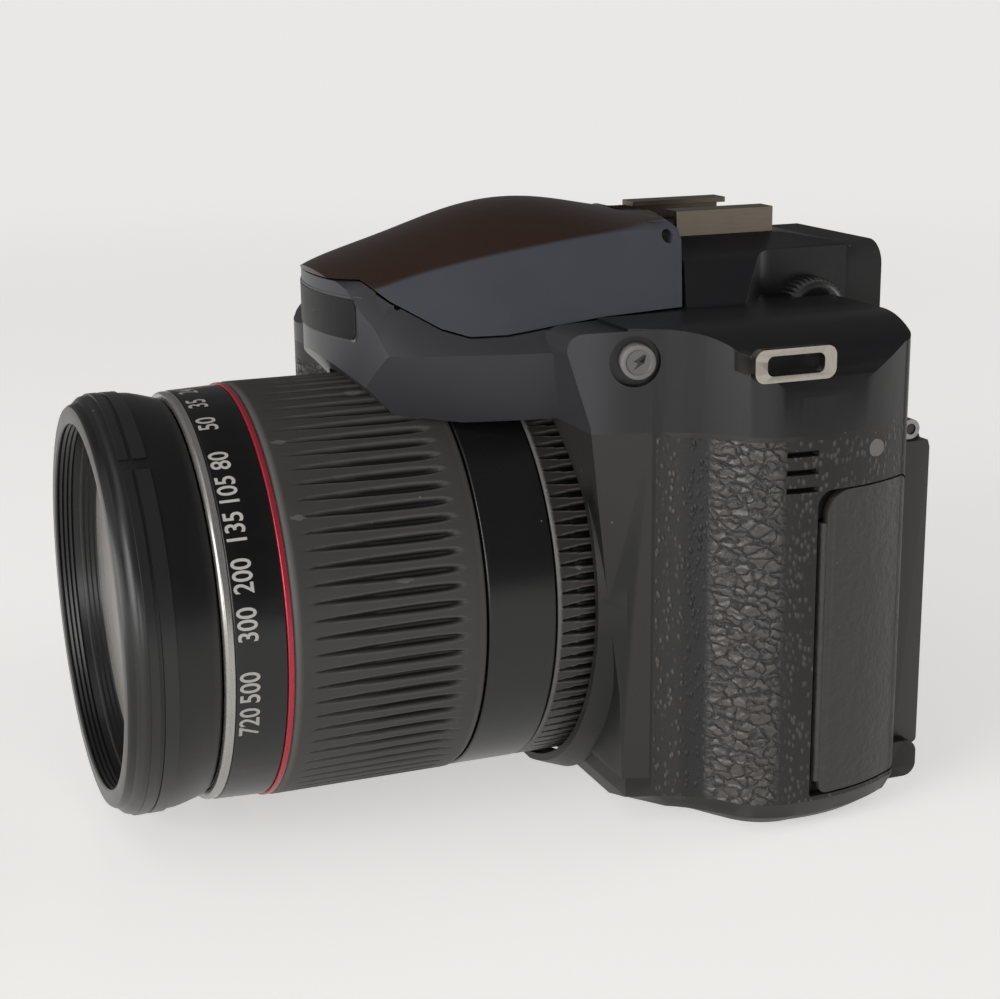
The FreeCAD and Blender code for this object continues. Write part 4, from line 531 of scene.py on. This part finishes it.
# Geometry Nodes tree for a ring with sunk flutes round it. The grid's rows run along the ring:
# the first and the last two lie on the bore, so that the tube closes.
def flutedTree(label, curves):
    tree = bpy.data.node_groups.new(label, "GeometryNodeTree")
    face = tree.interface
    face.new_socket("Geometry", in_out="OUTPUT", socket_type="NodeSocketGeometry")
    for kind, names in (("Int", ("Flutes", "Steps", "Rows")), ("Material", ("Material",)),
                        ("Float", ("Rear", "Front", "Radius", "Bore", "Depth", "Edge"))):
        for name in names:
            face.new_socket(name, in_out="INPUT", socket_type="NodeSocket" + kind)
    given = tree.nodes.new("NodeGroupInput").outputs

    def maths(operation, *values):
        return addNode(tree, "Math", values, operation=operation).outputs[0]

    def curve(value, points):
        node = addNode(tree, "FloatCurve", {"Value": value})
        line = node.mapping.curves[0]
        while len(line.points) < len(points):
            line.points.new(0.5, 0.5)
        for number, place in enumerate(points):
            line.points[number].location = place
        node.mapping.update()
        return node.outputs[0]

    rows = given["Rows"]
    grid = addNode(tree, "GeometryNodeMeshGrid", {
        "Size X": 1.0, "Size Y": 1.0, "Vertices Y": maths("ADD", rows, 1.0),
        "Vertices X": maths("ADD", maths("MULTIPLY", given["Flutes"], given["Steps"]), 1.0)})
    spot = addNode(tree, "SeparateXYZ", (addNode(tree, "GeometryNodeInputPosition"),)).outputs
    around = maths("ADD", spot["X"], 0.5)
    row = maths("ROUND", maths("MULTIPLY", maths("ADD", spot["Y"], 0.5), rows))
    share = maths("DIVIDE", maths("SUBTRACT", row, 1.0), maths("SUBTRACT", rows, 3.0))
    along = addNode(tree, "Clamp", (share,))
    onBore = maths("ADD", maths("LESS_THAN", row, 0.5),
                   maths("GREATER_THAN", row, maths("SUBTRACT", rows, 1.5)))
    closing = maths("GREATER_THAN", row, maths("SUBTRACT", rows, 0.5))
    run = maths("MULTIPLY", along, maths("SUBTRACT", 1.0, closing))
    station = maths("MULTIPLY_ADD", run, maths("SUBTRACT", given["Front"], given["Rear"]), given["Rear"])
    turns = maths("FRACT", maths("MULTIPLY", around, given["Flutes"]))
    away = maths("ABSOLUTE", maths("SUBTRACT", turns, 0.5))
    width = maths("MAXIMUM", curve(run, curves["width"]), 0.001)
    inside = addNode(tree, "MapRange", (maths("DIVIDE", away, width), 1.0, curves["wallSpread"]), **smooth)
    sunk = maths("MULTIPLY", maths("MULTIPLY", inside, curve(run, curves["depth"])), given["Depth"])
    ends = maths("MULTIPLY", maths("SUBTRACT", 1.0, curve(run, curves["crown"])), given["Edge"])
    outer = maths("SUBTRACT", maths("SUBTRACT", given["Radius"], sunk), ends)
    radius = addNode(tree, "GeometryNodeSwitch", {
        "Switch": maths("GREATER_THAN", onBore, 0.5), "False": outer, "True": given["Bore"]},
        input_type="FLOAT")
    angle = maths("MULTIPLY", around, 2 * math.pi)
    placed = addNode(tree, "CombineXYZ", (maths("MULTIPLY", radius, maths("COSINE", angle)),
                                          maths("MULTIPLY", station, -1.0),
                                          maths("MULTIPLY", radius, maths("SINE", angle))))
    moved = addNode(tree, "GeometryNodeSetPosition", {"Geometry": grid, "Position": placed})
    closed = addNode(tree, "GeometryNodeMergeByDistance", {"Geometry": moved, "Distance": weld["ring"]})
    real = addNode(tree, "GeometryNodeRealizeInstances", {"Geometry": closed})
    painted = addNode(tree, "GeometryNodeSetMaterial", {"Geometry": real, "Material": given["Material"]})
    addNode(tree, "NodeGroupOutput", {"Geometry": painted})
    return tree


# A fluted ring on the +Y axis through the origin, sizes in mm, moved by the matrix it is given.
def flutedRing(label, ring, place):
    tree = flutedTree(label + "Tree", ring["curves"])
    piece = newPiece(label, bpy.data.meshes.new(label))
    modifier = piece.modifiers.new("flutes", "NODES")
    modifier.node_group = tree
    for socket in tree.interface.items_tree:
        if socket.in_out == "INPUT":
            value = finishes[ring["finish"]] if socket.name == "Material" else ring[socket.name]
            modifier[socket.identifier] = value * mil if socket.socket_type == "NodeSocketFloat" else value
    piece.update_tag()
    settle(piece)
    work = bmesh.new()
    work.from_mesh(piece.data)
    bmesh.ops.recalc_face_normals(work, faces=work.faces)
    work.to_mesh(piece.data)
    work.free()
    piece.data.transform(place)
    return shade(piece, 40)


onLensAxis = Matrix.Translation((0, 0, lens["axis"] * mil))

# Zoom rubber: eighty sunk leaves, thin towards the front and blunter at the back, on a plain cuff.
zoomRubber = {
    "Flutes": 80, "Steps": 12, "Rows": 46, "Rear": 39.42, "Front": 69.78, "Radius": 33.58, "Bore": 32.02,
    "Depth": 1.0, "Edge": 0.45, "finish": "flutedRubber",
    "curves": {
        "width": [(0.0, 0.0), (0.09, 0.0), (0.13, 0.16), (0.22, 0.30), (0.42, 0.31), (0.66, 0.22),
                  (0.86, 0.08), (0.93, 0.0), (1.0, 0.0)],
        "depth": [(0.0, 0.0), (0.09, 0.0), (0.16, 0.85), (0.3, 1.0), (0.6, 0.8), (0.86, 0.35),
                  (0.93, 0.0), (1.0, 0.0)],
        "crown": [(0.0, 0.0), (0.015, 0.75), (0.03, 1.0), (0.97, 1.0), (0.985, 0.75), (1.0, 0.0)],
        "wallSpread": 0.15,
    },
}
wear(flutedRing("zoomRubberFluted", zoomRubber, onLensAxis), "zoom_rubber", "zoom_rubber")

# Focus ring: ninety-six blunt slots at the back that run out in a fine point towards the front.
focusRing = {
    "Flutes": 96, "Steps": 10, "Rows": 34, "Rear": 17.92, "Front": 27.58, "Radius": 33.38, "Bore": 30.95,
    "Depth": 0.85, "Edge": 0.35, "finish": "rubbedBarrelPlastic",
    "curves": {
        "width": [(0.0, 0.0), (0.14, 0.0), (0.17, 0.22), (0.24, 0.32), (0.52, 0.30), (0.72, 0.16),
                  (0.9, 0.07), (0.92, 0.0), (1.0, 0.0)],
        "depth": [(0.0, 0.0), (0.14, 0.0), (0.18, 0.9), (0.3, 1.0), (0.55, 0.9), (0.9, 0.45),
                  (0.92, 0.0), (1.0, 0.0)],
        "crown": [(0.0, 0.0), (0.04, 0.8), (0.07, 1.0), (0.94, 1.0), (0.97, 0.8), (1.0, 0.0)],
        "wallSpread": 0.35,
    },
}
wear(flutedRing("focusRingFluted", focusRing, onLensAxis), "focus_ring", "focus_ring")


# Faces between rings of vertices about the +Y axis, one ring at each angle. The outline is closed,
# of (station, radius) in mm.
def sweepRings(work, outline, angles, closed):
    rings = [[work.verts.new((radius * mil * math.cos(angle), -station * mil,
                              radius * mil * math.sin(angle))) for station, radius in outline]
             for angle in angles]
    for here, after in zip(rings, rings[1:] + rings[:1] if closed else rings[1:]):
        for spot in range(len(outline)):
            onward = (spot + 1) % len(outline)
            work.faces.new((here[spot], here[onward], after[onward], after[spot]))
    return rings


def turnedPiece(label, outline, finish, place, steps=160, turn=28):
    work = bmesh.new()
    sweepRings(work, outline, [2 * math.pi * number / steps for number in range(steps)], True)
    bmesh.ops.remove_doubles(work, verts=work.verts, dist=weld["ring"])
    return shade(meshPiece(label, work, finish, place), turn)


# Raised arcs on a turned surface: spans in degrees above +X, stations and radii in mm.
def raisedArcs(label, spans, bands, low, high, finish, place, soft=0.12):
    work = bmesh.new()
    for start, end in spans:
        steps = max(4, int((end - start) / 2))
        angles = [math.radians(start + (end - start) * number / steps) for number in range(steps + 1)]
        for rear, front in bands:
            section = [(rear, low), (rear + soft / 2, high - soft), (rear + soft, high), (front - soft, high),
                       (front - soft / 2, high - soft), (front, low)]
            rings = sweepRings(work, section, angles, False)
            work.faces.new(rings[0])
            work.faces.new(rings[-1])
    return shade(meshPiece(label, work, finish, place), 30)


# Front ring: a filter rim, the fluted throat and the bayonet's raised bands, which stop at a notch.
frontRing = {
    "start": lens["frontStart"], "rim": 31.9, "full": 33.5, "neck": 31.9, "bore": 28.7, "filter": 29.0,
    "filterRear": 90.3, "threadPitch": 0.75, "threadDeep": 0.22, "bandProud": 0.3, "bandSunk": 0.2,
    "bands": [(86.9, 89.2), (89.6, 91.2)], "bandSpans": [(-128, 52.0), (55.8, 150), (166, 214)],
}


def frontOutline():
    start, rim, neck, thread = (frontRing[key] for key in ("start", "rim", "neck", "filter"))
    bore, back, pitch = (frontRing[key] for key in ("bore", "filterRear", "threadPitch"))
    full = frontRing["full"] - frontRing["bandProud"]
    outline = [(start, bore), (start, neck - 0.3), (start + 0.3, neck), (start + 1.7, neck + 0.4),
               (start + 3.1, full - 0.5), (start + 4.7, full - 0.12), (start + 6.3, full),
               (start + 11.3, full), (start + 11.9, full - 0.15), (start + 12.4, full - 0.6),
               (start + 12.7, rim + 0.3), (start + 13.5, rim), (start + 13.9, rim - 0.3),
               (start + 14.0, rim - 0.7), (start + 14.0, thread + 0.3), (start + 13.8, thread)]
    station = start + 13.6
    while station - pitch > back:
        outline += [(station, thread), (station - pitch / 2, thread + frontRing["threadDeep"])]
        station -= pitch
    return outline + [(back, thread), (back, bore)]


wear(turnedPiece("frontRingTurned", frontOutline(), "barrelPolycarbonate", onLensAxis, 220),
     "front_ring", "front_ring")
wear(raisedArcs("frontRingBands", frontRing["bandSpans"], frontRing["bands"],
                frontRing["full"] - frontRing["bandProud"] - frontRing["bandSunk"], frontRing["full"] - 0.02,
                "bandPolycarbonate", onLensAxis), "front_ring")

# Throat and front glass: a short ridged cone behind the filter thread, then a broad domed element.
throat = {"rear": 87.4, "front": 90.28, "mouth": 28.66, "seat": 26.3, "ridges": 4, "wall": 1.0}
frontGlass = {"edge": 87.9, "middle": 89.5, "radius": 26.25, "thick": 3.0, "steps": 12}


def throatOutline():
    back, front, mouth, seat = (throat[key] for key in ("rear", "front", "mouth", "seat"))
    outline = [(back - throat["wall"], mouth), (front, mouth)]
    for step in range(throat["ridges"]):
        share = step / throat["ridges"]
        station = front - share * (front - back)
        radius = mouth - 0.12 - share * (mouth - seat)
        outline += [(station, radius), (station - 0.5, radius - 0.1)]
    return outline + [(back - throat["wall"], seat)]


def glassOutline():
    edge, radius, steps = (frontGlass[key] for key in ("edge", "radius", "steps"))
    outline = [(edge - frontGlass["thick"], 0.0), (edge - frontGlass["thick"], radius)]
    for step in range(steps + 1):
        share = 1 - step / steps
        outline.append((edge + (frontGlass["middle"] - edge) * (1 - share * share), radius * share))
    return outline


wear(turnedPiece("throatRidged", throatOutline(), "barrelPolycarbonate", onLensAxis, 180, 20),
     "baffle_ring", "baffle_ring")
wear(turnedPiece("frontGlassDomed", glassOutline(), "coatedGlass", onLensAxis, 120),
     "front_lens", "front_lens")
print("lens rings made")

# Zoom scale printed round the number band, tops of the digits towards the front.
zoomScale = {
    "height": 2.95, "narrow": 0.84, "bold": 0.02, "lift": 0.03, "middle": 76.3, "rearRadius": 33.2,
    "frontRadius": 32.9, "capShare": 0.7,
    "marks": [("24", 91), ("35", 79), ("50", 67.5), ("80", 53), ("105", 43.5), ("135", 33), ("200", 20.5),
              ("300", 8), ("500", -9), ("720", -19.5)],
}


def flatWords(words):
    curve = bpy.data.curves.new("words", "FONT")
    curve.body = words
    curve.size = zoomScale["height"] / zoomScale["capShare"]
    curve.offset = zoomScale["bold"] * zoomScale["height"]
    curve.align_x = "CENTER"
    curve.align_y = "CENTER"
    curve.resolution_u = 6
    holder = newPiece("words", curve)
    mesh = plainMesh(holder)
    bpy.data.objects.remove(holder)
    return mesh


def printedScale():
    work = bmesh.new()
    for words, degrees in zoomScale["marks"]:
        flat = flatWords(words)
        for vertex in flat.vertices:
            ahead = zoomScale["middle"] + vertex.co.y
            share = (ahead - lens["numberRear"]) / (lens["numberFront"] - lens["numberRear"])
            radius = zoomScale["rearRadius"] + share * (zoomScale["frontRadius"] - zoomScale["rearRadius"])
            angle = math.radians(degrees) + vertex.co.x * zoomScale["narrow"] / radius
            radius += zoomScale["lift"]
            up = lens["axis"] + radius * math.sin(angle)
            vertex.co = Vector((radius * math.cos(angle), -ahead, up)) * mil
        work.from_mesh(flat)
    return meshPiece("zoomScalePrinted", work, "printedInk", outwards=False)


wear(printedScale(), "zoom_ring")
print("zoom scale printed")

# Knurled dials: a fluted rim round a turned cap, stood on the place the solid has. Sizes are in mm.
dials = {
    "modeDial": {
        "node": "mode_dial", "axis": "Z", "radius": 10.58, "flutes": 60, "deep": 0.3, "margin": 0.9,
        "face": 1.6, "dish": 0.15, "rim": "darkAnodisedAluminium", "cap": "satinAbs"},
    "commandDial": {
        "node": "command_dial", "axis": "Z", "radius": 6.58, "flutes": 44, "deep": 0.28, "margin": 0.5,
        "face": 1.4, "dish": 0.3, "rim": "darkAnodisedAluminium", "cap": "satinAbs"},
    "diopterWheel": {
        "node": "diopter_wheel", "axis": "X", "radius": 5.58, "flutes": 40, "deep": 0.25, "margin": 0.4,
        "face": 1.6, "dish": 0.2, "rim": "barrelPolycarbonate", "cap": "barrelPolycarbonate"},
}
knurl = {"width": [(0.0, 0.34), (1.0, 0.34)], "depth": [(0.0, 1.0), (1.0, 1.0)],
         "crown": [(0.0, 0.0), (0.12, 1.0), (0.88, 1.0), (1.0, 0.0)], "wallSpread": 0.25}


def knurledDial(label, look):
    name, radius, margin, dish = (look[key] for key in ("node", "radius", "margin", "dish"))
    low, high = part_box(name)
    along = "XYZ".index(look["axis"])
    tall = (high - low)[along] / mil
    foot = (low + high) / 2
    foot[along] = low[along]
    quarter = math.radians(90)
    turn = Matrix.Rotation(-quarter, 4, "X") if look["axis"] == "Z" else Matrix.Rotation(quarter, 4, "Z")
    place = Matrix.Translation(foot) @ turn
    rim = {"Flutes": look["flutes"], "Steps": 4, "Rows": 12, "Rear": margin, "Front": tall - margin,
           "Radius": radius, "Bore": radius - 1.3, "Depth": look["deep"], "Edge": 0.3, "finish": look["rim"],
           "curves": knurl}
    wear(flutedRing(label + "Knurl", rim, place), name)
    cap = [(0.0, 0.0), (0.0, radius - 0.25), (margin, radius - 0.25), (margin, radius - 1.0),
           (tall - margin, radius - 1.0), (tall - margin, radius - 0.5), (tall - 0.35, radius - 0.75),
           (tall, radius - 1.2), (tall, radius - look["face"]), (tall - dish, radius - look["face"] - 0.4),
           (tall - dish, 0.0)]
    wear(turnedPiece(label + "Cap", cap, look["cap"], place, 96), name, name)


for label, look in dials.items():
    knurledDial(label, look)
print("dials knurled")


# A solid between two outlines that match point by point.
def prism(work, one, other):
    work.faces.new(one)
    work.faces.new(other)
    for number in range(len(one)):
        onward = (number + 1) % len(one)
        work.faces.new((one[number], one[onward], other[onward], other[number]))


def flatMark(label, outlines, finish, place, thick=0.04):
    work = bmesh.new()
    for outline in outlines:
        prism(work, *([work.verts.new((x * mil, y * mil, z * mil)) for x, y in outline]
                      for z in (0, thick)))
    bmesh.ops.triangulate(work, faces=work.faces)
    return meshPiece(label, work, finish, place)


# A frame whose Z is the face's outward way and whose Y is as near to up as that allows.
def facing(spot, outward, up=(0, 0, 1)):
    z = Vector(outward).normalized()
    x = Vector(up).cross(z).normalized()
    turn = Matrix((x, z.cross(x), z)).transposed().to_4x4()
    return Matrix.Translation(Vector(spot) * mil) @ turn


# The flash button sits towards the back of its round recess, so that a dark crescent shows ahead of
# it, and carries a bolt of lightning. The profile is (from the cap's top, in from its radius).
flashButton = {
    "spot": (37.0, -16.6, 75.0), "outward": (0.957, -0.292, 0.0), "radius": 2.7, "aside": 0.42,
    "proud": 0.85, "deep": 2.4, "boltSize": 0.95, "boltTurn": -20, "boltSunk": 0.13,
    "profile": [(-0.35, 0.0), (-0.1, 0.1), (0.0, 0.35), (0.0, 0.75), (-0.12, 0.9)],
    "bolt": [(0.35, 1.5), (-0.85, -0.15), (-0.05, -0.15), (-0.35, -1.5), (0.85, 0.2), (0.05, 0.2),
             (0.75, 1.5)],
}
buttonFrame = facing(flashButton["spot"], flashButton["outward"]) @ Matrix.Translation(
    (flashButton["aside"] * mil, 0, 0))
buttonTop, buttonRadius = flashButton["proud"], flashButton["radius"]
buttonOutline = [(-flashButton["deep"], 0.0), (-flashButton["deep"], buttonRadius)]
buttonOutline += [(buttonTop + rise, buttonRadius - inset) for rise, inset in flashButton["profile"]]
buttonOutline.append((buttonOutline[-1][0], 0.0))
standUp = Matrix.Rotation(math.radians(-90), 4, "X")
wear(turnedPiece("flashButtonCap", buttonOutline, "satinButtonAbs", buttonFrame @ standUp, 64),
     "flash_button", "flash_button")
boltHeight = Matrix.Translation((0, 0, (buttonTop - flashButton["boltSunk"]) * mil))
boltPlace = buttonFrame @ boltHeight @ Matrix.Rotation(math.radians(flashButton["boltTurn"]), 4, "Z")
bolt = [(x * flashButton["boltSize"], y * flashButton["boltSize"]) for x, y in flashButton["bolt"]]
wear(flatMark("flashBolt", [bolt], "sparkErodedAbs", boltPlace), "flash_button")

# Bare panel on the flash head's nose: it follows the curved front, with a thin frame behind it.
nosePanel = {"half": 14.6, "low": 77.3, "high": 83.6, "corner": 1.1, "columns": 48, "ahead": 80.0,
             "sunk": 0.15}


def onNose(label, margin, proud, finish):
    cover = nodes["top_cover"]
    skin = BVHTree.FromPolygons([cover.matrix_world @ vertex.co for vertex in cover.data.vertices],
                                [list(face.vertices) for face in cover.data.polygons])
    half, low, high = nosePanel["half"] + margin, nosePanel["low"] - margin, nosePanel["high"] + margin
    corner = nosePanel["corner"]
    work = bmesh.new()
    columns = []
    for number in range(nosePanel["columns"] + 1):
        across = half * (2 * number / nosePanel["columns"] - 1)
        beyond = max(0.0, abs(across) - (half - corner))
        lift = corner - math.sqrt(max(0.0, corner ** 2 - beyond ** 2))
        column = []
        for height in (low + lift, high - lift):
            start = Vector((across * mil, -nosePanel["ahead"] * mil, height * mil))
            hit = skin.ray_cast(start, Vector((0, 1, 0)))[0]
            for step in (-proud, nosePanel["sunk"]):
                column.append(work.verts.new(hit + Vector((0, step * mil, 0))))
        columns.append(column)
    for here, after in zip(columns, columns[1:]):
        for one, other in ((0, 2), (2, 3), (3, 1), (1, 0)):
            work.faces.new((here[one], here[other], after[other], after[one]))
    work.faces.new([columns[0][spot] for spot in (0, 2, 3, 1)])
    work.faces.new([columns[-1][spot] for spot in (1, 3, 2, 0)])
    wear(shade(meshPiece(label, work, finish), 35), "top_cover")


onNose("nosePanelFrame", 0.35, 0.1, "darkButtonAbs")
onNose("nosePanelBare", 0.0, 0.2, "mattedPanelLacquer")

# The flash reflector: bright inside, black casing on the outside.
reflector = softened("flash_reflector", 0.1)
reflector.data.materials.append(finishes["sparkErodedAbs"])
for face in reflector.data.polygons:
    if abs(face.normal.x) > 0.9 or face.normal.y > 0.9:
        face.material_index = 1

# Small fillets that close the housing's corners under the flash lid, left and right.
cheek = {"corners": [(14.5, -50.0, 84.4), (17.7, -50.0, 80.9), (17.9, -47.3, 81.7), (16.8, -48.0, 82.8)],
         "inward": (-0.5, 0.1, -0.45)}
for side, label in ((1, "noseFilletLeft"), (-1, "noseFilletRight")):
    work = bmesh.new()
    inX, inY, inZ = cheek["inward"]
    outer = [work.verts.new(Vector((side * x, y, z)) * mil) for x, y, z in cheek["corners"]]
    inner = [work.verts.new(Vector((side * (x + inX), y + inY, z + inZ)) * mil)
             for x, y, z in cheek["corners"]]
    prism(work, outer, inner)
    bmesh.ops.triangulate(work, faces=work.faces)
    wear(meshPiece(label, work, "satinAbs"), "top_cover")
print("nose dressed")


def turned(outline, degrees, away=0.0):
    cos, sin = math.cos(math.radians(degrees)), math.sin(math.radians(degrees))
    return [(cos * x - sin * (y + away), sin * x + cos * (y + away)) for x, y in outline]


def markOn(label, name, outward, outlines, sunk=0.0, up=(0, 0, 1)):
    low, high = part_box(name)
    spot = (low + high) / 2
    along = max(range(3), key=lambda number: abs(outward[number]))
    spot[along] = high[along] if outward[along] > 0 else low[along]
    place = facing(spot / mil, outward, up) @ Matrix.Translation((0, 0, -sunk * mil))
    wear(flatMark(label, outlines, "printedInk", place, 0.03), name)


# Plain marks: bars round the mode dial, arrows round the selector, a triangle on playback.
marks = {"bar": [(-0.16, -0.6), (0.16, -0.6), (0.16, 0.6), (-0.16, 0.6)],
         "shortBar": [(-0.12, -0.3), (0.12, -0.3), (0.12, 0.3), (-0.12, 0.3)],
         "arrow": [(-0.65, -0.4), (0.65, -0.4), (0.0, 0.55)], "barsAway": 7.2, "arrowsAway": 6.4}
markOn("modeDialMarks", "mode_dial", (0, 0, 1),
       [turned(marks["shortBar" if step % 3 else "bar"], step * 30, marks["barsAway"])
        for step in range(12)], 0.15, (0, 1, 0))
markOn("selectorArrows", "selector_pad", (0, 1, 0),
       [turned(marks["arrow"], step * 90, marks["arrowsAway"]) for step in range(4)])
markOn("playbackMark", "playback_button", (0, 1, 0), [turned(marks["arrow"], -90)])
print("marks printed")

# Pale floor and backdrop colour for the camera and for what mirrors it, and a plain level of light.
studio = {"pale": "#e9e8e6", "level": 0.13, "floor": "#dedcd9", "floorSecond": "#e2e0dd", "floorGlow": 0.64,
          "floorRough": 0.8, "floorSize": 60.0, "near": 0.22, "far": 1.1}


def paleWorld():
    world = bpy.data.worlds.new("studioWorld")
    bpy.context.scene.world = world
    world.use_nodes = True
    tree = world.node_tree
    tree.nodes.clear()
    seen = addNode(tree, "LightPath").outputs["Is Camera Ray"]
    plain = addNode(tree, "Background", ("#ffffff", studio["level"]))
    pale = addNode(tree, "Background", (studio["pale"], 1.0))
    addNode(tree, "OutputWorld", (addNode(tree, "MixShader", (seen, plain, pale)),))


def paleFloor():
    half = studio["floorSize"] / 2
    mesh = bpy.data.meshes.new("studioFloor")
    mesh.from_pydata([(-half, -half, 0), (half, -half, 0), (half, half, 0), (-half, half, 0)], [],
                     [(0, 1, 2, 3)])
    material, tree, place = newMaterial("paintedFloor")
    path = addNode(tree, "LightPath").outputs
    mirrored = addNode(tree, "Math", (path["Is Glossy Ray"], path["Is Transmission Ray"]),
                       operation="MAXIMUM")
    grain = addNode(tree, "TexNoise", {"Vector": place, "Scale": 12.0})
    tone = addNode(tree, "MixRGB", (grain, studio["floor"], studio["floorSecond"]))
    painted = addNode(tree, "BsdfPrincipled", {"Base Color": tone, "Roughness": studio["floorRough"]})
    shown = addNode(tree, "Math", (path["Is Camera Ray"], mirrored), operation="MAXIMUM")
    strength = addNode(tree, "Math", (shown, studio["floorGlow"]), operation="MULTIPLY")
    glow = addNode(tree, "Emission", (studio["pale"], strength))
    both = addNode(tree, "AddShader", (painted, glow))
    # far off the floor turns into the backdrop for the camera
    reach = addNode(tree, "VectorMath", (place,), operation="LENGTH").outputs["Value"]
    far = addNode(tree, "MapRange", (reach, studio["near"], studio["far"]), interpolation_type="SMOOTHERSTEP")
    faded = addNode(tree, "Math", (far, path["Is Camera Ray"]), operation="MULTIPLY")
    backdrop = addNode(tree, "Emission", (studio["pale"], 1.0))
    mesh.materials.append(finishMaterial(material, addNode(tree, "MixShader", (faded, both, backdrop))))
    newPiece("studioFloor", mesh)


# Soft round lights: where each stands and how wide it is in metres, and its power in watts.
lights = {
    "lowSoftbox": {"spot": (0.45, -1.25, 0.32), "power": 12.0, "wide": 1.0},
    "sideSoftbox": {"spot": (1.3, -0.5, 0.22), "power": 3.4, "wide": 0.6},
    "topSoftbox": {"spot": (0.2, -0.6, 1.0), "power": 1.2, "wide": 0.9},
    "rearSoftbox": {"spot": (0.1, 1.3, 0.4), "power": 5.0, "wide": 0.9},
}
lightAim = (0.0, -0.02, 0.04)


def softLight(label, look):
    lamp = bpy.data.lights.new(label, "AREA")
    lamp.energy = look["power"]
    lamp.shape = "DISK"
    lamp.size = look["wide"]
    holder = newPiece(label, lamp)
    holder.location = look["spot"]
    holder.rotation_euler = (Vector(lightAim) - Vector(look["spot"])).to_track_quat("-Z", "Y").to_euler()


paleWorld()
paleFloor()
for label, look in lights.items():
    softLight(label, look)
print("studio set")

# The camera, fitted to the photograph: where it stands, and its right, up and back ways.
view = {
    "spot": (0.2925, -0.1387, 0.1286), "lens": 69.03, "sensor": 36.0,
    "right": (0.3676, 0.9299, -0.0110), "up": (-0.2338, 0.1038, 0.9667), "back": (0.9001, -0.3528, 0.2556),
}
eye = bpy.data.cameras.new("photoCamera")
eye.lens = view["lens"]
eye.sensor_width = view["sensor"]
eye.sensor_fit = "HORIZONTAL"
eye.clip_start = 0.01
eyeHolder = newPiece("photoCamera", eye)
looking = Matrix((view["right"], view["up"], view["back"])).transposed().to_4x4()
eyeHolder.matrix_world = Matrix.Translation(view["spot"]) @ looking
bpy.context.scene.camera = eyeHolder
bpy.context.scene.view_settings.view_transform = "Standard"
